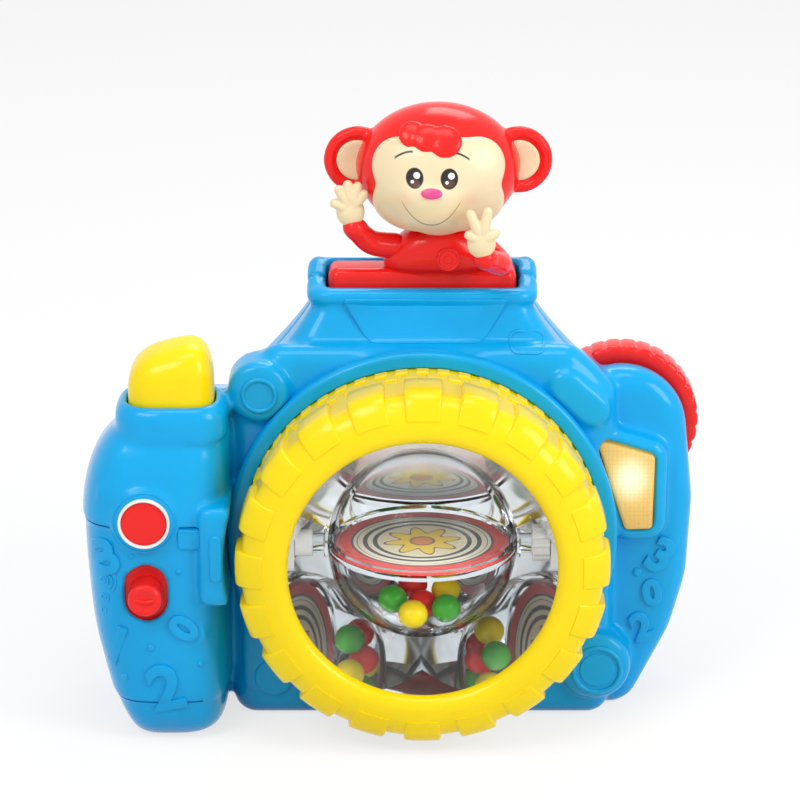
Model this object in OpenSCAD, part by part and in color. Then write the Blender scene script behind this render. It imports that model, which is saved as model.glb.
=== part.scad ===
// Toy camera with a turning lens ring, a spinning bead ball and a pop-up monkey.
// Millimetres. X runs to the right, Y away from the viewer, Z up. The lens axis is at x = 0,
// the case splits at y = 0 and the toy stands on z = 0.

/* [Case] */
// Half width of the middle block
block_half_w = 58; // [56.5:0.5:61]
// Depth of the middle block ahead of the split line
case_front = 22; // [20:0.5:26]
// Depth of the case behind the split line
case_back = 26; // [26:0.5:32]
// Height of the lens axis above the floor
lens_z = 60; // [59:0.5:64]
// Radius of the arch over the lens
arch_r = 74; // [72:0.5:77]
// Depth of the right wing ahead of the split line
wing_front = 14; // [12:0.5:16]
// Reach of the right wing from the lens axis
wing_reach = 82.5; // [82:0.5:88]
// Wall of the moulded shells
wall = 2.2; // [1.8:0.1:2.6]
// Rounding of the case edges
edge_r = 6; // [4:0.5:8]

/* [Prism hump] */
// Height of the top of the rim
rim_z = 137.5; // [136:0.5:146]
// Width of the rim round the pop-up opening
rim_w = 70; // [69:0.5:76]
// Depth of the rim round the pop-up opening
rim_d = 24; // [23:0.5:28]
// Width of the pop-up opening
opening_w = 58; // [56:0.5:60]
// Depth of the pop-up opening
opening_d = 14; // [13:0.5:15]

/* [Grip] */
// Reach of the grip from the lens axis
grip_reach = 102.6; // [101:0.5:108]
// Distance of the grip's inner side from the lens axis
grip_inner = 56.5; // [55:0.5:57]
// Depth of the grip ahead of the split line
grip_front = 47; // [45:0.5:52]
// Height of the grip's top
grip_top = 105; // [104:0.5:109]
// Distance of the badge and the volume slider from the lens axis
control_x = 82.5; // [81:0.5:84]
// Height of the badge's centre
badge_z = 73; // [72:0.5:76]
// Radius of the badge
badge_r = 7.7; // [6.5:0.1:8.5]
// Height of the volume slider's centre
slider_z = 50; // [49:0.5:52]
// Width of the volume slider's slot
slot_w = 12.4; // [11.6:0.1:13]
// Diameter of the volume slider's knob
knob_d = 10; // [9:0.1:10.8]
// Travel of the volume slider each way
slide_travel = 3.5; // [3:0.1:4]

/* [Lens ring] */
// Outer radius of the lens ring's body
ring_r = 54; // [53:0.25:55]
// Wall of the lens ring over the barrel that it turns on
ring_wall = 8; // [7.5:0.25:9]
// Overlap of the lens ring's front lip over the barrel
lip_overlap = 6; // [4:0.25:8]
// Depth of the lens ring ahead of the case
ring_depth = 34; // [33:0.5:38]
// Thickness of the lens ring's front lip
lip_t = 4; // [3:0.25:5]
// Number of lugs round the lens ring
lugs = 20; // [16:1:24]
// Height of a lug above the ring
lug_h = 1.8; // [1:0.1:2.4]
// Wall of the barrel
barrel_wall = 1.7; // [1.4:0.1:2]

/* [Bead ball] */
// Room between the clear ball and the outside of the barrel
ball_room = 17.5; // [17:0.25:19]
// Wall of the clear ball
ball_wall = 1.6; // [1.4:0.1:1.9]
// Diameter of the ball's stub axles
axle_d = 6; // [5:0.25:7]
// Diameter of a bead
bead_d = 9; // [8:0.1:9.2]
// Thickness of the printed disc
disc_t = 1.2; // [0.8:0.1:1.6]

/* [Dial] */
// Radius of the dial over its teeth
dial_r = 23.6; // [23:0.2:25]
// Thickness of the dial
dial_t = 10; // [8:0.5:11]
// Number of teeth round the dial
dial_teeth = 30; // [20:1:40]
// Distance of the dial's centre inside the wing's reach
dial_inset = 21.7; // [20.5:0.1:22.5]
// Height of the dial's centre
dial_z = 90; // [89:0.5:92]

/* [Shutter and pop-up] */
// Width of the shutter button
button_w = 25.6; // [24:0.2:27]
// Depth of the shutter button
button_d = 22; // [20:0.5:23]
// Height of the shutter button over the grip at its middle
button_h = 18.5; // [15:0.5:22]
// Travel of the shutter button
press_travel = 6; // [5:0.25:6.5]
// Travel of the pop-up monkey
pop_travel = 16; // [14:0.5:17]
// Width of the monkey's head
head_w = 48.8; // [46:0.2:52]
// Height of the monkey's head
head_h = 39.6; // [38:0.2:43]
// Distance of the monkey's middle to the right of the lens axis
monkey_x = 4.7; // [3:0.1:6]

/* [Batteries] */
// Diameter of a cell
cell_d = 14.2; // [13.8:0.1:14.5]
// Length of a cell with its tip
cell_l = 50.4; // [50:0.1:51]

/* [Clearances] */
// Radial running clearance of a shaft in its hole
run_gap = 0.05; // [0.03:0.01:0.1]
// Clearance between pieces that pass each other
slip_gap = 0.3; // [0.2:0.05:0.5]

/* [Hidden] */

$fn = 64;
blend_fn = 28;
round_steps = 3;
hole_fn = 10;
seat_gap = 0.05;
part_gap = 0.15;
far = 400;

blue = "#03a3e0";
yellow = "#fade00";
red = "#f02623";
cream = "#ecd7af";
clear = [0.85, 0.93, 0.96, 0.35];
steel = "silver";

// Case forms: the level under the prism, the wing's swellings as x, z and radius, the grip's
// stations as share of height, draw-in at the outer side, the inner side and the front
block_top = 119;
block_fall = 15;
grip_fall = 16;
dial_x = wing_reach - dial_inset;
dial_bare = 4.1;
wing_rounds = [
    [dial_x, dial_z, dial_r - dial_bare], [wing_reach - 25.5, 67, 25.5],
    [wing_reach - 20.5, 30, 16.5], [wing_reach - 24, 9.5, 9.5],
    [block_half_w - 18, 67, 12], [block_half_w - 18, 30, 12]
];
bridge_w = 44;
bridge_front = 8;
grip_square = 4;
button_square = 3.2;
grip_stations = [
    [0, 14.5, 9, 11], [0.02, 12, 3, 7], [0.06, 10, 0.5, 3.2], [0.12, 7.6, 0, 1.2],
    [0.24, 4.4, 0, 0.4], [0.37, 1.8, 0, 0], [0.57, 0.2, 0, 0], [0.71, 0, 0, 0.2],
    [0.83, 0.6, 0, 0.6], [0.91, 2, 0, 1.8], [0.96, 4.4, 0.6, 4.2], [0.99, 8, 2, 7.6],
    [1, 11, 4, 10]
];
prism_foot = [98, 38];
prism_shift = -2;
prism_z = 110;
rim_h = 6.5;
rim_ear = 3.6;
rim_ear_w = 6.4;
front_lobes = [[-49, 106, 10], [53, 18, 11]];
tab_front = 38;
dial_ahead = 3;
board_posts = [[-67, 36], [-67, 68]];
spring_z = 76;
spring_seat_d = 16;
spring_r = 4;
spring_turns = 5;
wire_r = 0.5;

// Planes of the lens group, as distances ahead of the split line
barrel_r = ring_r - ring_wall;
hole_r = barrel_r - lip_overlap;
ball_r = barrel_r - ball_room;
ball_ahead = ball_r + slip_gap + 0.2;
ring_front = case_front + ring_depth;
ring_back = case_front + slip_gap;
flange_t = 2;
flange_r = ring_r + 1.3;
lip_back = ring_front - lip_t;
barrel_front = lip_back - slip_gap;
barrel_bore = barrel_r - barrel_wall;
barrel_back = case_front - wall - 2;
shoulder_r = 6;
lug_back = ring_front - 17;
lug_turn = 12;
tooth_h = 1.2;
tooth_turns = [0, 0.4, 0.55, 0.85];
land_back = case_front + 8;
land_front = lip_back - 5;
land_relief = 0.9;
collar_r = flange_r + 3.7;
collar_lip = 1.8;
collar_front = ring_back + flange_t + slip_gap + collar_lip;

// Mirror cup: five facets, flat bottom behind the ball
cup_wall = 1.5;
cup_front = barrel_front - slip_gap;
cup_floor = ball_ahead - ball_r - 2.5;
cup_mouth = hole_r + 1;
cup_waist = ball_r - 4.5;
cup_r = barrel_bore - seat_gap;
facet_turns = [-50, 26, 90, 154, 230];

// Ball bearings and axle ends
axle_r = axle_d / 2;
axle_reach = barrel_bore - slip_gap;
bearing_l = 5.7;
bearing_in = barrel_bore - bearing_l;
bearing_w = 12;
gear_in = ball_r + 4.6;
gear_t = bearing_in - gear_in - slip_gap;
bead_r = bead_d / 2;
ball_bore = ball_r - ball_wall;
bead_orbit = ball_bore - bead_r - seat_gap;
bead_spread = 2 * asin((bead_d + slip_gap) / (2 * bead_orbit));
cluster_tilt = 12;

// Pop-up train: the button's cross-bar and the plunger's slot lie at the ends of the rocker
button_x = -(grip_inner + button_w / 2 + 5.5);
button_y = -28;
bar_r = 2.5;
pin_r = 2;
stem_z = grip_top - 16.2;
bar_z = stem_z - slip_gap - bar_r;
pivot_x = button_x * pop_travel / (pop_travel + press_travel);
pivot_z = bar_z - press_travel / 2;
tip_z = pivot_z - pop_travel / 2;
rest_tilt = atan((press_travel / 2) / (pivot_x - button_x));
bar_arm = norm([pivot_x - button_x, press_travel / 2]);
tip_arm = norm([pivot_x, pop_travel / 2]);
guide_gap = 0.7;
plunger_w = opening_w - 2 * guide_gap;
plunger_d = opening_d - 2 * guide_gap;
leg_y = [plunger_d / 2 - 1.9, plunger_d / 2];
rocker_y = [plunger_d / 2 + 0.6, plunger_d / 2 + 5.2];
plunger_top = rim_z - 1.5;
plunger_h = 29;
leg_w = 13;
button_drop = 12.8;
button_foot = grip_top - button_drop;
button_tab_t = 3.2;
button_lip = 3.4;
lip_drop = 9;
button_round = 0.45;
button_slope = [0.14, 0.24];
spring_y = button_y - 7;
spring_l = button_foot - spring_z - 2 * wire_r - 2 * slip_gap;

// Battery compartment in the back
cell_pitch = cell_d + 0.8;
tray_wall = 1.2;
tray_w = 3 * cell_pitch + 2 * tray_wall + 0.6;
tray_z = 12.5;
contact_t = 0.5;
tray_h = cell_l + 2 * contact_t + 2 * tray_wall + 0.6;
contact_z = [
    tray_z + tray_wall + seat_gap, tray_z + tray_h - tray_wall - contact_t - seat_gap
];
inner_back = case_back - wall;
tray_y = [inner_back - cell_d - tray_wall - 1.4, inner_back - 0.1];
door_top = tray_z + tray_h - tray_wall;
door_hinge_z = door_top - wall / 2;
door_hinge_y = case_back - wall / 2;
door_half_w = tray_w / 2 - tray_wall - slip_gap;
door_foot = tray_z + tray_wall + slip_gap;
door_screw_at = [0, door_foot + 4.5];
screw_head_t = 1.3;
cell_y = tray_y[0] + tray_wall + slip_gap + cell_d / 2;
cell_z = tray_z + tray_wall + contact_t + slip_gap;
cell_tip = 1.4;

// Screws that hold the two shells together, as x and z
screw_at = [[-92, 80], [-76, 13], [48, 10], [40, 108]];
screw_r = 1.5;
screw_head_r = 3;
screw_seat = 8;
boss_r = 4.5;
screw_depth = 10;

// Speaker behind the wing
speaker_room = wing_reach - tray_w / 2;
speaker_at = [tray_w / 2 + 0.4786 * speaker_room, 42];
speaker_r = 0.29 * speaker_room;
speaker_t = 9;
grille_r = 1.1;

// Flash window corners, as x and z, counted across the wing from the collar to its reach
function wing_x(share) = collar_r + share * (wing_reach - collar_r);
flash_corners = [
    [wing_x(-0.2468), 90], [wing_x(0.4851), 84.6], [wing_x(0.4681), 61], [wing_x(0.1191), 60.8]
];
flash_front = wing_front + 6;
reflector_t = 5.5;
led_at = [wing_x(0.234), 74.5];
led_r = 2.5;
flash_seat = wing_front - 1;
inner_wing = wing_front - wall;

// Volume slider planes behind the grip's front
slot_h = knob_d + 2 * slide_travel + 0.6;
plate_y = grip_front - wall - 1.2;
knob_front = grip_front + 5.6;
boss_h = 0.6;
badge_seat = grip_front + boss_h + seat_gap;
badge_rim_w = 0.85;
plate_t = 1.5;
switch_y = plate_y - plate_t - slip_gap;
board_y = switch_y - 5;
board_t = 1.6;
board_x = 77.5;
board_z = 52;
board_w = 27;
board_h = 40;

// Monkey, standing on the plunger
neck_z = plunger_top + 14.6;
head_z = neck_z - 0.6 + head_h / 2;
head_y = -2;
head_d = 37;
face_t = 1.4;
ear_x = head_w / 2 - 0.4;
chest_front = 10.4;
torso_stations = [
    [13, 5.4, 0], [14.5, 5.8, 0.14], [16.4, 8.2, 0.27], [15.4, 9.4, 0.55], [12, 8.6, 0.82],
    [8.5, 7.4, 1]
];
// Points of the raised arm and of the arm held in front: shoulder, elbow and wrist
raised_arm = [[-13, -3, 9.5], [-20, -6, 11.5], [-24.6, -9, 16.5]];
front_arm = [[13.5, -4, 9.5], [18.5, -13, 6.8], [14, -22, 11]];

// Point at a turn and distance in a plane
function polar(r, a) = [r * cos(a), r * sin(a)];

// Ring of points on a rounded oblong, half sizes a and b, higher p for squarer corners
function oblong(a, b, p, n = 32) = [
    for (i = [0:n - 1])
        let (t = 360 * i / n, c = cos(t), s = sin(t))
        [a * sign(c) * pow(abs(c), 2 / p), b * sign(s) * pow(abs(s), 2 / p)]
];

// Lists a stack of rings as one run of points
function flat(rings) = [for (ring = rings) for (p = ring) p];

// Closed skin through a stack of rings, each counter-clockwise from above
module loft(rings) {
    n = len(rings[0]);
    m = len(rings);
    sides = [
        for (i = [0:m - 2], j = [0:n - 1], half = [0, 1])
            let (a = i * n + j, b = i * n + (j + 1) % n)
            half == 0 ? [a, a + n, b + n] : [a, b + n, b]
    ];
    bottom = [for (j = [1:n - 2]) [0, j, j + 1]];
    top = [for (j = [1:n - 2]) [(m - 1) * n, (m - 1) * n + j + 1, (m - 1) * n + j]];
    polyhedron(flat(rings), concat(sides, bottom, top), convexity = 6);
}

// Turns a plan drawn in x and z into a solid between two distances ahead of the split line
module ahead(from, to) {
    translate([0, -from, 0])
        rotate([90, 0, 0])
            linear_extrude(to - from)
                children();
}

// Puts what is drawn about the Z axis on the lens axis, facing the viewer
module on_lens() {
    translate([0, 0, lens_z])
        rotate([90, 0, 0])
            children();
}

// Cylinder that runs front to back at x and z
module rod_y(at, r, from, to, sides = $fn) {
    translate([at[0], -from, at[1]])
        rotate([90, 0, 0])
            cylinder(r = r, h = to - from, $fn = sides);
}

// Block with rounded edges from a convex plan in x and z, or from a front plan and a back plan;
// inset makes its hollow, with bevelled edges
module soft_block(front, back, edge, inset = 0) {
    e = max(edge - inset, 0.8);
    steps = inset > 0 ? 1 : round_steps;
    hull()
        for (k = [0:steps], end = [0, 1]) {
            a = 90 * k / steps;
            rise = inset + e * (1 - sin(a));
            at = end == 0 ? front - rise : -back + rise;
            ahead(at - 0.005, at + 0.005)
                offset(delta = -(inset + e * (1 - cos(a))))
                    children(end == 0 ? 0 : $children - 1);
        }
}

// Rounded solid with its three half sizes
module blob(at, half, sides = 24) {
    translate(at)
        hull()
            scale(half)
                sphere(1, $fn = sides);
}

// Round bar from one point to another
module limb(from, to, r1, r2) {
    hull() {
        translate(from) sphere(r1, $fn = 14);
        translate(to) sphere(r2, $fn = 14);
    }
}

// Oblong plan with rounded corners
module rounded_plan(w, h, r) {
    offset(r = r, $fn = hole_fn * 2)
        square([w - 2 * r, h - 2 * r], center = true);
}

// Slot plan, round at both ends
module slot_plan(w, h) {
    hull()
        for (s = [-1, 1])
            translate([0, s * (h - w) / 2])
                circle(d = w, $fn = blend_fn);
}

// Plan of the middle block: an arch over the lens, cut level under the prism
module block_plan(top) {
    offset(r = 4, $fn = hole_fn * 2)
        offset(delta = -4)
            intersection() {
                union() {
                    translate([0, lens_z]) circle(arch_r, $fn = 48);
                    translate([-block_half_w, 0]) square([2 * block_half_w, lens_z]);
                }
                translate([-block_half_w, 0]) square([2 * block_half_w, top]);
            }
}

// Plan of the right wing, drawn round its swellings
module wing_plan() {
    hull()
        for (c = wing_rounds)
            translate([c[0], c[1]])
                circle(c[2], $fn = blend_fn);
}

// Plan of the bridge between the grip and the middle block
module bridge_plan(top) {
    translate([-grip_inner, top / 2 + 2])
        rounded_plan(bridge_w, top - 4, 6);
}

// Rings of the grip from the foot to the top, drawn in by an inset for its hollow
function grip_rings(inset = 0) = [
    for (s = grip_stations)
        let (
            left = -grip_reach + s[1] + inset,
            right = -grip_inner - s[2] - inset,
            front = -grip_front + s[3] + inset,
            back = case_back - min(s[3], edge_r) - inset,
            z = inset + s[0] * (grip_top - 2 * inset)
        )
        [for (p = oblong((right - left) / 2, (back - front) / 2, grip_square))
            [(left + right) / 2 + p[0], (front + back) / 2 + p[1],
             z - grip_fall * max(s[0] - 0.6, 0) / 0.4 * ((p[1] / (back - front)) + 0.5)]]
];

// Flat slice of a rounded oblong at a height
module slice(w, d, r, z) {
    translate([0, 0, z])
        linear_extrude(0.01)
            rounded_plan(w, d, r);
}

// Hump that carries the pop-up opening
module prism(inset = 0) {
    hull() {
        translate([0, prism_shift, 0])
            slice(prism_foot[0] - 2 * inset, prism_foot[1] - 2 * inset, 8, prism_z);
        slice(rim_w - 3 - 2 * inset, rim_d - 1 - 2 * inset, 5, rim_z - rim_h - inset * 4);
    }
}

// Rounded rim round the pop-up opening
module rim() {
    hull() {
        slice(rim_w - 2, rim_d - 2, 5, rim_z - rim_h);
        slice(rim_w, rim_d, 6, rim_z - rim_h + 1.5);
        slice(rim_w, rim_d, 6, rim_z - 2);
        slice(rim_w - 4, rim_d - 4, 4, rim_z);
    }
    for (side = [-1, 1])
        translate([side * ((rim_w - rim_ear_w) / 2 - slip_gap), 0, 0])
            hull() {
                slice(rim_ear_w, rim_d - 2, 3, rim_z - 3);
                slice(rim_ear_w - 1, rim_d - 9, 2.4, rim_z + rim_ear - 1);
                slice(rim_ear_w - 3, rim_d - 12, 1.6, rim_z + rim_ear);
            }
}

// The main blocks of the case, or their hollow
module case_form(inset = 0) {
    soft_block(case_front, case_back, edge_r, inset) {
        block_plan(block_top);
        block_plan(block_top - block_fall);
    }
    soft_block(wing_front, case_back, edge_r, inset) wing_plan();
    soft_block(bridge_front, case_back, edge_r, inset) {
        bridge_plan(grip_top - 5);
        bridge_plan(grip_top - 11);
    }
    loft(grip_rings(inset));
    prism(inset);
}

// Flash window plan, grown by a margin
module flash_plan(grow = 0) {
    offset(r = grow + 2, $fn = hole_fn * 2)
        offset(delta = -2)
            polygon(flash_corners);
}

// Raised shapes moulded on the outside of the case
module case_trim() {
    on_lens()
        translate([0, 0, case_front - 12])
            cylinder(r = collar_r - 0.4, h = 12);
    rim();
    soft_block(tab_front, -case_front / 2, 3)
        translate([-(block_half_w + 1.8), lens_z + 3])
            rounded_plan(10, 30, 3);
    for (lobe = front_lobes)
        soft_block(case_front + 4, -case_front / 2, 3)
            translate([lobe[0], lobe[1]])
                circle(lobe[2], $fn = blend_fn);
    soft_block(flash_front, -wing_front / 2, 3)
        flash_plan(4);
    soft_block(grip_front + boss_h, 8 - grip_front, 1.2)
        translate([-control_x, badge_z])
            circle(badge_r + 2.3, $fn = blend_fn);
    soft_block(grip_front + 1.2, 8 - grip_front, 1.2)
        translate([-control_x, slider_z])
            slot_plan(slot_w + 5, slot_h + 5);
    hull()
        for (s = [[button_lip, -lip_drop], [button_lip, 0], [button_lip - 0.8, 1.6]])
            translate([button_x, button_y, grip_top + s[1]])
                linear_extrude(0.01)
                    polygon(oblong(button_w / 2 + s[0], button_d / 2 + s[0], button_square));
}

// Cuts that both shells share
module shared_openings() {
    translate([-opening_w / 2, -opening_d / 2, block_top - 22])
        cube([opening_w, opening_d, far]);
    rod_y([dial_x, dial_z], dial_r + 2 * slip_gap,
          dial_ahead - dial_t - slip_gap, dial_ahead + slip_gap);
    translate([button_x, button_y, grip_top - lip_drop - wall])
        linear_extrude(far)
            offset(delta = slip_gap)
                polygon(oblong(button_w / 2, button_d / 2, button_square));
    for (s = screw_at)
        rod_y(s, screw_r + 2 * seat_gap, -far, screw_depth, 2 * hole_fn);
}

// Half of the case, hollowed; children are the posts inside it
module half_case(front) {
    difference() {
        intersection() {
            union() {
                case_form();
                case_trim();
            }
            translate([-far / 2, front ? -far : 0, 0])
                cube(far);
        }
        case_form(wall);
    }
    intersection() {
        case_form(wall / 2);
        children();
    }
}

module front_shell() {
    color(blue)
        difference() {
            half_case(true) {
                for (s = screw_at) {
                    in_grip = s[0] < -grip_inner;
                    rod_y(s, boss_r, 0, in_grip ? grip_front : case_front, 2 * hole_fn);
                }
                for (p = board_posts)
                    rod_y(p, 2.5, board_y, grip_front, 2 * hole_fn);
                translate([button_x - 8, -grip_front + wall / 2, spring_z - wall])
                    cube([16, spring_seat_d, wall]);
            }
            on_lens() {
                translate([0, 0, wall])
                    cylinder(r = barrel_r + 2 * seat_gap, h = far);
                translate([0, 0, case_front])
                    cylinder(r = collar_r + part_gap, h = far);
            }
            translate([-control_x, 0, slider_z])
                ahead(board_y, far)
                    slot_plan(slot_w, slot_h);
            ahead(flash_seat, far)
                flash_plan(seat_gap * 2);
            ahead(inner_wing - 1, far)
                flash_plan(-2);
            shared_openings();
        }
}

module back_shell() {
    color(blue)
        difference() {
            half_case(false) {
                for (s = screw_at)
                    rod_y(s, boss_r, -inner_back, 0, 2 * hole_fn);
            }
            for (s = screw_at)
                rod_y(s, screw_head_r + slip_gap, -far, -screw_seat, 2 * hole_fn);
            translate([-door_half_w - slip_gap, 0, tray_z + tray_wall])
                cube([2 * (door_half_w + slip_gap), far, door_top - tray_z - tray_wall + slip_gap]);
            for (ring = [0:3], k = [0:max(ring * 6 - 1, 0)])
                rod_y(speaker_at + polar(ring * speaker_r / 4, k * 60 / max(ring, 1)), grille_r,
                      -far, 0, hole_fn);
            shared_openings();
        }
}

// Retaining collar on the case front; its lip holds the lens ring's rear flange
module ring_collar() {
    color(blue)
        on_lens()
            rotate_extrude()
                polygon([
                    [flange_r + slip_gap, case_front], [collar_r, case_front],
                    [collar_r, collar_front - 1], [collar_r - 1, collar_front],
                    [ring_r + slip_gap, collar_front], [ring_r + slip_gap, collar_front - collar_lip],
                    [flange_r + slip_gap, collar_front - collar_lip]
                ]);
}

// Tube that carries the lens ring outside and the mirror cup inside
module lens_barrel() {
    color(blue)
        on_lens()
            rotate_extrude()
                polygon([
                    [barrel_bore, barrel_back], [barrel_r + 4, barrel_back],
                    [barrel_r + 4, case_front - wall], [barrel_r, case_front - wall],
                    [barrel_r, barrel_front], [barrel_bore, barrel_front]
                ]);
}

// Outline of the lens ring: rear flange, tread, rounded shoulder, front lip and running land
function ring_outline() = concat(
    [[barrel_r + land_relief, ring_back], [flange_r, ring_back], [flange_r, ring_back + flange_t],
     [ring_r, ring_back + flange_t]],
    [for (a = [0:15:90]) [ring_r - shoulder_r, ring_front - shoulder_r] + polar(shoulder_r, a)],
    [[hole_r + 1, ring_front], [hole_r, ring_front - 1], [hole_r, lip_back],
     [barrel_r + land_relief, lip_back], [barrel_r + land_relief, land_front],
     [barrel_r + run_gap, land_front], [barrel_r + run_gap, land_back],
     [barrel_r + land_relief, land_back]]
);

// Outline of one lug on the ring's front shoulder
function lug_outline() = concat(
    [[ring_r - 2, lug_back], [ring_r + lug_h - 0.6, lug_back], [ring_r + lug_h, lug_back + 0.8]],
    [for (a = [0:22.5:67.5])
        [ring_r - shoulder_r, ring_front - shoulder_r] + polar(shoulder_r + lug_h, a)],
    [[ring_r - shoulder_r, ring_front - shoulder_r]]
);

module lens_ring() {
    color(yellow)
        on_lens() {
            rotate_extrude()
                polygon(ring_outline());
            for (k = [0:lugs - 1])
                rotate(k * 360 / lugs - lug_turn / 2)
                    rotate_extrude(angle = lug_turn)
                        polygon(lug_outline());
        }
}

// Five-sided plan whose facets lie at one distance from the lens axis
function cup_plan(d) = [
    for (i = [0:4])
        let (a = facet_turns[i], b = i < 4 ? facet_turns[i + 1] : facet_turns[0] + 360)
        polar(d / cos((b - a) / 2), (a + b) / 2)
];

// Five-sided funnel inside a round bore
module funnel(r, floor, grow) {
    intersection() {
        translate([0, 0, floor])
            cylinder(r = r, h = cup_front - floor);
        hull() {
            translate([0, 0, cup_floor])
                linear_extrude(0.01) polygon(cup_plan(cup_waist + grow));
            translate([0, 0, cup_front + 0.01])
                linear_extrude(0.01) polygon(cup_plan(cup_mouth + grow));
            translate([0, 0, floor])
                linear_extrude(0.01) polygon(cup_plan(cup_waist + grow));
        }
    }
}

module mirror_cup() {
    color("lightsteelblue")
        on_lens()
            difference() {
                funnel(cup_r, cup_floor - cup_wall, cup_wall);
                translate([0, 0, 0.02])
                    funnel(cup_r - cup_wall, cup_floor, 0);
                for (side = [-1, 1])
                    translate([side * (gear_in + barrel_r) / 2, 0, ball_ahead])
                        cube([barrel_r - gear_in + 2, bearing_w + 2 * slip_gap, bearing_w + 2 * slip_gap],
                             center = true);
            }
}

// Block in the barrel's bore that carries one stub axle
module bearing(side) {
    color("white")
        on_lens()
            difference() {
                intersection() {
                    translate([side * (bearing_in + barrel_r) / 2, 0, ball_ahead])
                        cube([barrel_r - bearing_in, bearing_w, bearing_w], center = true);
                    cylinder(r = cup_r, h = barrel_front);
                }
                translate([0, 0, ball_ahead])
                    rotate([0, 90, 0])
                        cylinder(r = axle_r + run_gap, h = far, center = true);
            }
}

module bearing_left() {
    bearing(-1);
}

module bearing_right() {
    bearing(1);
}

// Puts what is drawn about the origin at the ball's centre
module on_ball() {
    translate([0, -ball_ahead, lens_z])
        children();
}

// Half of the clear ball with the ledge that holds the printed disc
module ball_half(up) {
    difference() {
        intersection() {
            union() {
                difference() {
                    sphere(ball_r);
                    sphere(ball_bore);
                }
                difference() {
                    translate([0, 0, up * (disc_t / 2 + seat_gap + 0.8)])
                        cylinder(r = ball_bore + 0.2, h = 1.6, center = true);
                    cylinder(r = ball_bore - 1.8, h = far, center = true);
                }
            }
            translate([0, 0, up * far / 2])
                cube(far, center = true);
        }
        cylinder(r = ball_bore + seat_gap, h = disc_t + 2 * seat_gap, center = true);
    }
}

// Lower half, with the stub axles that turn in the bearings
module ball_lower() {
    color(clear)
        on_ball() {
            ball_half(-1);
            for (side = [-1, 1])
                rotate([0, side * 90, 0])
                    translate([0, 0, ball_bore + ball_wall / 3])
                        cylinder(r = axle_r, h = axle_reach - ball_bore - ball_wall / 3);
        }
}

module ball_upper() {
    color(clear)
        on_ball()
            difference() {
                ball_half(1);
                for (side = [-1, 1])
                    rotate([0, side * 90, 0])
                        translate([0, 0, ball_bore])
                            cylinder(r = axle_r + seat_gap, h = axle_reach);
            }
}

module ball_disc() {
    color("tan")
        on_ball()
            cylinder(r = ball_bore - seat_gap, h = disc_t, center = true);
}

// Wheel on one stub axle, with grip teeth when asked for
module axle_wheel(side, r, teeth) {
    on_ball()
        rotate([0, side * 90, 0])
            translate([0, 0, gear_in])
                difference() {
                    union() {
                        cylinder(r = r - 0.7, h = gear_t);
                        for (k = [1:teeth])
                            rotate(k * 360 / teeth)
                                translate([r - 0.7, 0, gear_t / 2])
                                    cube([1.4, 1.1, gear_t], center = true);
                    }
                    cylinder(r = axle_r + seat_gap / 2, h = far, center = true);
                }
}

module ball_gear() {
    color("whitesmoke")
        axle_wheel(1, axle_r + 2.6, 14);
}

module ball_collar() {
    color("whitesmoke")
        axle_wheel(-1, axle_r + 1.8, 0);
}

// Bead k of the cluster that lies in the ball: one at the bottom, five round it
module bead(k) {
    on_ball()
        rotate([cluster_tilt, 0, 0])
            rotate([0, 0, 72 * k])
                rotate([0, k == 0 ? 0 : bead_spread, 0])
                    translate([0, 0, -bead_orbit])
                        sphere(bead_r);
}

module beads_yellow() {
    color(yellow) {
        bead(1);
        bead(3);
    }
}

module beads_red() {
    color(red) {
        bead(0);
        bead(4);
    }
}

module beads_green() {
    color("#4cae3a") {
        bead(2);
        bead(5);
    }
}

// Serrated dial that sticks out of the wing's shoulder
module dial_wheel() {
    color(red)
        translate([dial_x, 0, dial_z])
            difference() {
                ahead(dial_ahead - dial_t, dial_ahead)
                    polygon([
                        for (k = [0:dial_teeth - 1], s = [0:3])
                            let (turn = (k + tooth_turns[s]) * 360 / dial_teeth)
                            polar(dial_r - (s < 2 ? 0 : tooth_h), turn)
                    ]);
                rod_y([0, 0], axle_r + run_gap, -far, far);
            }
}

// Pin from the back wall with a head that keeps the dial on
module dial_axle() {
    color(steel) {
        rod_y([dial_x, dial_z], axle_r, -inner_back, dial_ahead + slip_gap);
        rod_y([dial_x, dial_z], axle_r + 2, dial_ahead + slip_gap, dial_ahead + slip_gap + 1.6);
        rod_y([dial_x, dial_z], axle_r + 2, -inner_back, dial_ahead - dial_t - slip_gap);
    }
}

// Lit window of the flash, seated on the wing's ledge
module flash_lens() {
    color("#fff0a8") {
        ahead(flash_seat, flash_front + 0.4)
            flash_plan(0);
        ahead(flash_front + 0.4, flash_front + 1)
            flash_plan(-1);
    }
}

module flash_reflector() {
    color("gainsboro")
        difference() {
            ahead(inner_wing - reflector_t, inner_wing - seat_gap)
                flash_plan(1);
            ahead(inner_wing - reflector_t + 1, far)
                flash_plan(-0.4);
            rod_y(led_at, led_r + seat_gap, 0, far);
        }
}

module flash_led() {
    color("ivory") {
        rod_y(led_at, led_r, inner_wing - reflector_t - 1, inner_wing - 2);
        rod_y(led_at, led_r + 0.7, inner_wing - reflector_t - 1, inner_wing - reflector_t - seat_gap);
        translate([led_at[0], 2 - inner_wing, led_at[1]])
            sphere(led_r);
    }
}

// White rim of the badge on the grip
module badge_rim() {
    color("white")
        difference() {
            rod_y([-control_x, badge_z], badge_r, badge_seat, badge_seat + 1.5);
            rod_y([-control_x, badge_z], badge_r - badge_rim_w, 0, far);
        }
}

module badge_disc() {
    color(red)
        rod_y([-control_x, badge_z], badge_r - badge_rim_w - seat_gap, badge_seat, badge_seat + 1.2);
}

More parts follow.
